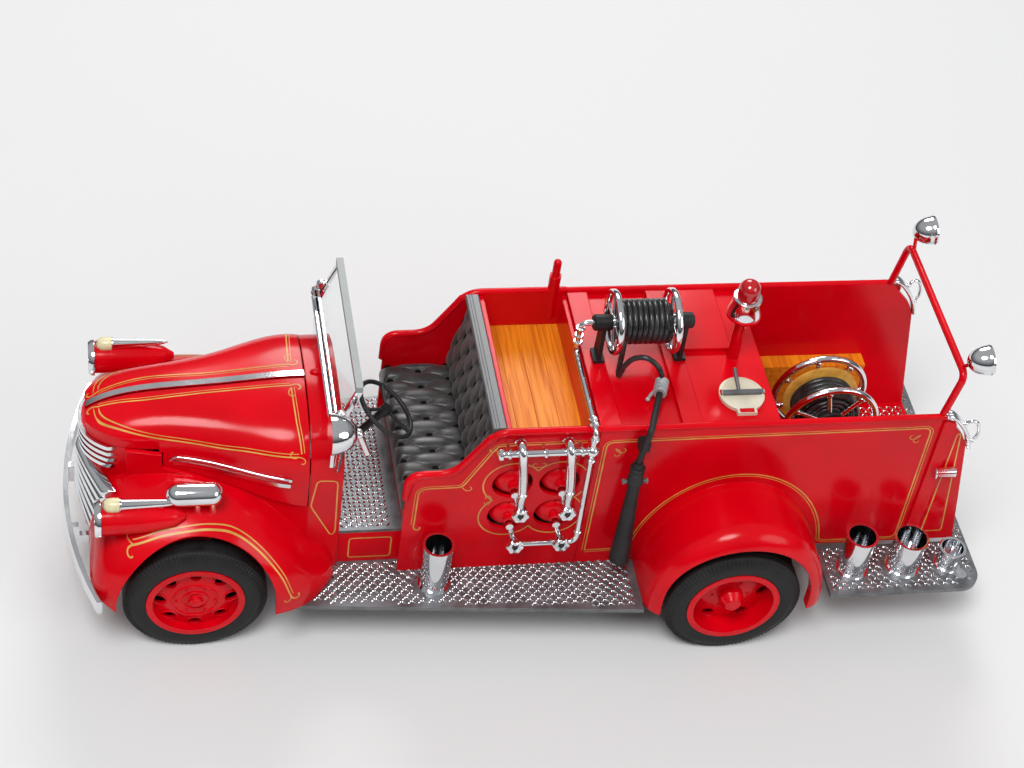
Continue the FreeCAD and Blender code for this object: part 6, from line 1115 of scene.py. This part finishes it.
def eased(corners, ease, closed=False, step=0.7):
    """A line through corners with each corner rounded as a parabola, cut into equal short steps."""
    corners = np.asarray(corners, float)
    if closed:
        corners = np.concatenate([corners[-1:], corners, corners[:1]])
    corner = corners[1:-1]
    before, after = corners[:-2] - corner, corners[2:] - corner
    before = corner + ease * before / np.linalg.norm(before, axis=1, keepdims=True)
    after = corner + ease * after / np.linalg.norm(after, axis=1, keepdims=True)
    t = np.linspace(0, 1, 7)[None, :, None]
    line = (1 - t) ** 2 * before[:, None] + 2 * t * (1 - t) * corner[:, None] + t ** 2 * after[:, None]
    line = line.reshape(-1, 2)
    line = np.concatenate([line, line[:1]] if closed else [corners[:1], line, corners[-1:]])
    length = np.concatenate([[0], np.cumsum(np.linalg.norm(np.diff(line, axis=0), axis=1))])
    even = np.linspace(0, length[-1], max(6, int(length[-1] / step)))
    return np.stack([np.interp(even, length, line[:, i]) for i in (0, 1)], axis=-1)


for side, name in SIDES:
    line = eased(RIM_LINE, RIM_EASE)
    line = np.stack([line[:, 0], np.full(len(line), side * RIM_Y), line[:, 1]], axis=-1)
    skin("tub_rim_" + name, tube(line, RIM_BEAD_R, 14, ACROSS), red_enamel, "chassis")

# Pinstripes.
# Fine gold lines, a bold one with a hairline beside it, are painted on the hood, fenders, cowl, steps and
# walls, with small curls at their ends. Each is laid onto the casting that carries it.
GOLD = (0.72, 0.42, 0.09, 1)
GOLD_DARK = (0.52, 0.27, 0.04, 1)
LINE_W = 0.34
HAIR_W = 0.17
HAIR_SHIFT = 0.75
STRIPE_LIFT = 0.06
SIDE_FAR = 60.0
TOP_FAR = 95.0
HOOD_UPPER = (
    (-113.8, -2.6), (-108.0, -3.4), (-101.8, -4.0), (-94.0, -3.8), (-86.3, -3.5), (-76.0, -3.6), (-65.6, -3.8),
)
HOOD_REAR = ((-65.4, -4.6), (-65.2, -10.0), (-64.9, -15.3), (-63.9, -21.4))
HOOD_LOWER = (
    (-64.6, 59.0), (-70.5, 58.9), (-76.8, 58.6), (-85.2, 57.8), (-97.9, 58.1), (-108.4, 59.2), (-114.0, 58.9),
)
HOOD_SPEAR = (
    (-96.2, 51.9), (-95.0, 53.0), (-93.0, 53.3), (-85.0, 53.1), (-75.0, 52.7), (-67.2, 52.3), (-66.6, 51.6),
)
SPEAR_W = 0.75
SPEAR_WALL = 0.5
# How a line is drawn: bold alone, bold with a hairline on its first or second side, or thin alone
BOLD, HAIR_FIRST, HAIR_SECOND, THIN = range(4)
THIN_W = HAIR_W * 1.3
FENDER_ARC = (
    (-106.0, 40.3), (-98.7, 42.6), (-91.0, 43.5), (-85.9, 43.3), (-81.5, 42.2), (-77.2, 39.6), (-72.9, 35.4),
    (-68.9, 29.7), (-66.5, 23.8),
)
COWL_LOOP = ((-59.6, 51.4), (-54.4, 51.0), (-54.0, 31.2), (-55.0, 29.8), (-60.9, 41.7))
PANEL_LINE = ((-34.0, 36.0), (-33.8, 48.9), (-32.4, 49.8), (-22.6, 49.9), (-14.9, 65.0), (8.2, 65.2))
PANEL_BOTTLES = ((2.9, 50.5), (-9.5, 50.5), (-9.5, 38.2), (2.9, 38.2))
QUATREFOIL_R = 7.7
LOBE_SPAN = (-53.0, 143.0)
STEP_BOX = ((-49.8, 19.2), (-49.8, 26.8), (-38.6, 26.8), (-38.6, 19.2))
WALL_FRONT = ((13.5, 22.4), (13.5, 64.8), (101.0, 65.7), (101.6, 21.9), (80.6, 21.9))
ARCH_MIDDLE, ARCH_HALVES, ARCH_SPAN = (52.2, 17.5), (27.6, 33.0), (9.0, 171.0)
NARROW_LOOP = ((108.9, 23.8), (108.9, 63.2), (109.8, 63.2), (114.8, 23.8))


def curl(start, heading, bend, size, steps=30):
    """A scroll: its heading turns as heading + bend s^2, s from 0 to 1, over a length of size."""
    s = np.linspace(0, 1, steps)
    turn = math.radians(heading) + bend * s ** 2
    step = size / (steps - 1) * np.stack([np.cos(turn), np.sin(turn)], axis=-1)
    return np.array(start) + np.concatenate([np.zeros((1, 2)), np.cumsum(step[:-1], axis=0)])


def band(line, width, shift, side, top):
    """A flat band over a line, in a far plane: point(s, t) = line(s) + (shift + w t) side(s), t from -1/2
    to 1/2, and side square to the line and to the direction it will be laid in."""
    line = np.asarray(line, float)
    if top:
        path = np.stack([line[:, 0], line[:, 1] * -side, np.full(len(line), TOP_FAR)], axis=-1)
        toward = np.array([0.0, 0.0, -1.0])
    else:
        path = np.stack([line[:, 0], np.full(len(line), side * SIDE_FAR), line[:, 1]], axis=-1)
        toward = np.array([0.0, -side, 0.0])
    shift = shift * -side
    along = np.gradient(path, axis=0)
    aside = np.cross(along, toward)
    aside /= np.linalg.norm(aside, axis=1, keepdims=True)
    t = np.linspace(-0.5, 0.5, 3)
    points = path[:, None, :] + (shift + width * t)[None, :, None] * aside[:, None, :]
    return points, grid_faces(len(line), 3)


def laid(name, lines, node, body, side, top=False, width=LINE_W, finish=None):
    """Lays (line, way it is drawn) pairs onto a CAD node. Every point runs along one axis to the node's
    surface, and those that meet nothing are dropped."""
    shapes = []
    for line, way in lines:
        shapes.append(band(line, THIN_W if way == THIN else width, 0.0, side, top))
        if way in (HAIR_FIRST, HAIR_SECOND):
            shapes.append(band(line, HAIR_W, HAIR_SHIFT if way == HAIR_FIRST else -HAIR_SHIFT, side, top))
    piece = skin(name, gathered(shapes), finish or stripe_gold, body, closed=False)
    wrap = piece.modifiers.new("laid", "SHRINKWRAP")
    wrap.wrap_method = "PROJECT"
    wrap.wrap_mode = "ABOVE_SURFACE"
    wrap.use_project_y = not top
    wrap.use_project_z = top
    wrap.use_negative_direction = top or side > 0
    wrap.use_positive_direction = not top and side < 0
    wrap.target = nodes[node]
    wrap.offset = STRIPE_LIFT * MM
    graph = bpy.context.evaluated_depsgraph_get()
    settled = bpy.data.meshes.new_from_object(piece.evaluated_get(graph))
    piece.modifiers.clear()
    far = (TOP_FAR if top else SIDE_FAR) * 0.999
    piece.data = trimmed(settled, lambda x, y, z: (z if top else np.abs(y)) > far)
    return piece


stripe_gold = new_material("stripe_gold", GOLD, 0.35)
clouded(stripe_gold, GOLD_DARK, GOLD, 180.0, 0.3, 0.45, 2600.0, 0.2)
angle = np.radians(np.linspace(*LOBE_SPAN, 40))
lobe = np.stack([QUATREFOIL_R * np.cos(angle), QUATREFOIL_R * np.sin(angle)], axis=-1)
quarter = np.array([[0, -1], [1, 0]])
quatrefoil, turned_lobe = [], lobe
for centre in PANEL_BOTTLES:
    quatrefoil.append(turned_lobe + centre)
    turned_lobe = turned_lobe @ quarter.T
quatrefoil = np.concatenate(quatrefoil + [quatrefoil[0][:1]])
angle = np.radians(np.linspace(*ARCH_SPAN, 90))
oval = np.array(ARCH_MIDDLE) + np.array(ARCH_HALVES) * np.stack([np.cos(angle), np.sin(angle)], axis=-1)
wall_loop = np.concatenate([eased(WALL_FRONT, 2.0), oval, [WALL_FRONT[0]]])
for side, name in SIDES:
    hood_lines = [
        (smooth_path(HOOD_UPPER, 12), HAIR_FIRST), (eased(HOOD_REAR, 1.5), HAIR_FIRST),
        (curl(HOOD_UPPER[0], 150, 3.6, 4.2), BOLD), (curl(HOOD_UPPER[-1], 20, -3.8, 4.4), BOLD),
        (curl(HOOD_REAR[0], 235, 3.8, 4.6), THIN),
    ]
    lower_lines = [
        (smooth_path(HOOD_LOWER, 12), HAIR_SECOND), (curl(HOOD_LOWER[0], 350, -4.0, 3.6), THIN),
        (curl(HOOD_LOWER[0], 200, -4.0, 3.6), THIN), (curl(HOOD_LOWER[-1], 170, -3.6, 3.6), THIN),
    ]
    spear_line = [(smooth_path(HOOD_SPEAR, 10), BOLD)]
    hood = "hood_" + name
    laid("stripes_hood_side_" + name, lower_lines, hood, hood, side)
    spear = laid("hood_spear_" + name, spear_line, hood, hood, side, False, SPEAR_W, plating)
    spear_wall = spear.modifiers.new("wall", "SOLIDIFY")
    spear_wall.thickness = SPEAR_WALL * MM
    spear_wall.offset = 1.0
    laid("stripes_hood_" + name, hood_lines, hood, hood, side, True)
    front_lines = [
        (smooth_path(FENDER_ARC, 12), HAIR_FIRST), (curl(FENDER_ARC[0], 200, 4.2, 4.4), BOLD),
        (curl(FENDER_ARC[0], 170, -4.2, 4.0), THIN), (curl(FENDER_ARC[-1], 290, 4.2, 4.4), BOLD),
        (curl(FENDER_ARC[-1], 280, -4.2, 4.0), THIN),
    ]
    laid("stripes_fender_" + name, front_lines, "body_front", "chassis", side)
    laid("stripes_cowl_" + name, [(eased(COWL_LOOP, 1.2, True), BOLD)], "cowl", "chassis", side)
    panel_lines = [
        (eased(PANEL_LINE, 1.4), HAIR_FIRST), (quatrefoil, BOLD), (eased(STEP_BOX, 0.8, True), BOLD),
        (curl(PANEL_LINE[0], 265, 4.2, 4.2), BOLD), (curl(PANEL_LINE[3], 300, 4.2, 4.4), THIN),
        (curl(PANEL_LINE[4], 265, -4.0, 4.2), THIN), (curl((-14.6, 44.4), 90, 4.2, 3.4), THIN),
        (curl((-14.6, 44.4), 270, -4.2, 3.4), THIN), (curl((-3.3, 56.4), 0, 4.2, 3.4), THIN),
        (curl((-3.3, 56.4), 180, -4.2, 3.4), THIN),
    ]
    laid("stripes_panel_" + name, panel_lines, "tub", "chassis", side)
    wall_lines = [
        (wall_loop, HAIR_FIRST), (eased(NARROW_LOOP, 0.7, True), BOLD),
        (curl((16.0, 62.4), 300, 4.2, 5.0), THIN), (curl((16.0, 62.4), 330, -4.2, 5.0), THIN),
        (curl((98.6, 63.2), 240, -4.2, 5.0), THIN), (curl((98.6, 63.2), 210, 4.2, 5.0), THIN),
    ]
    laid("stripes_wall_" + name, wall_lines, "body_rear", "chassis", side)
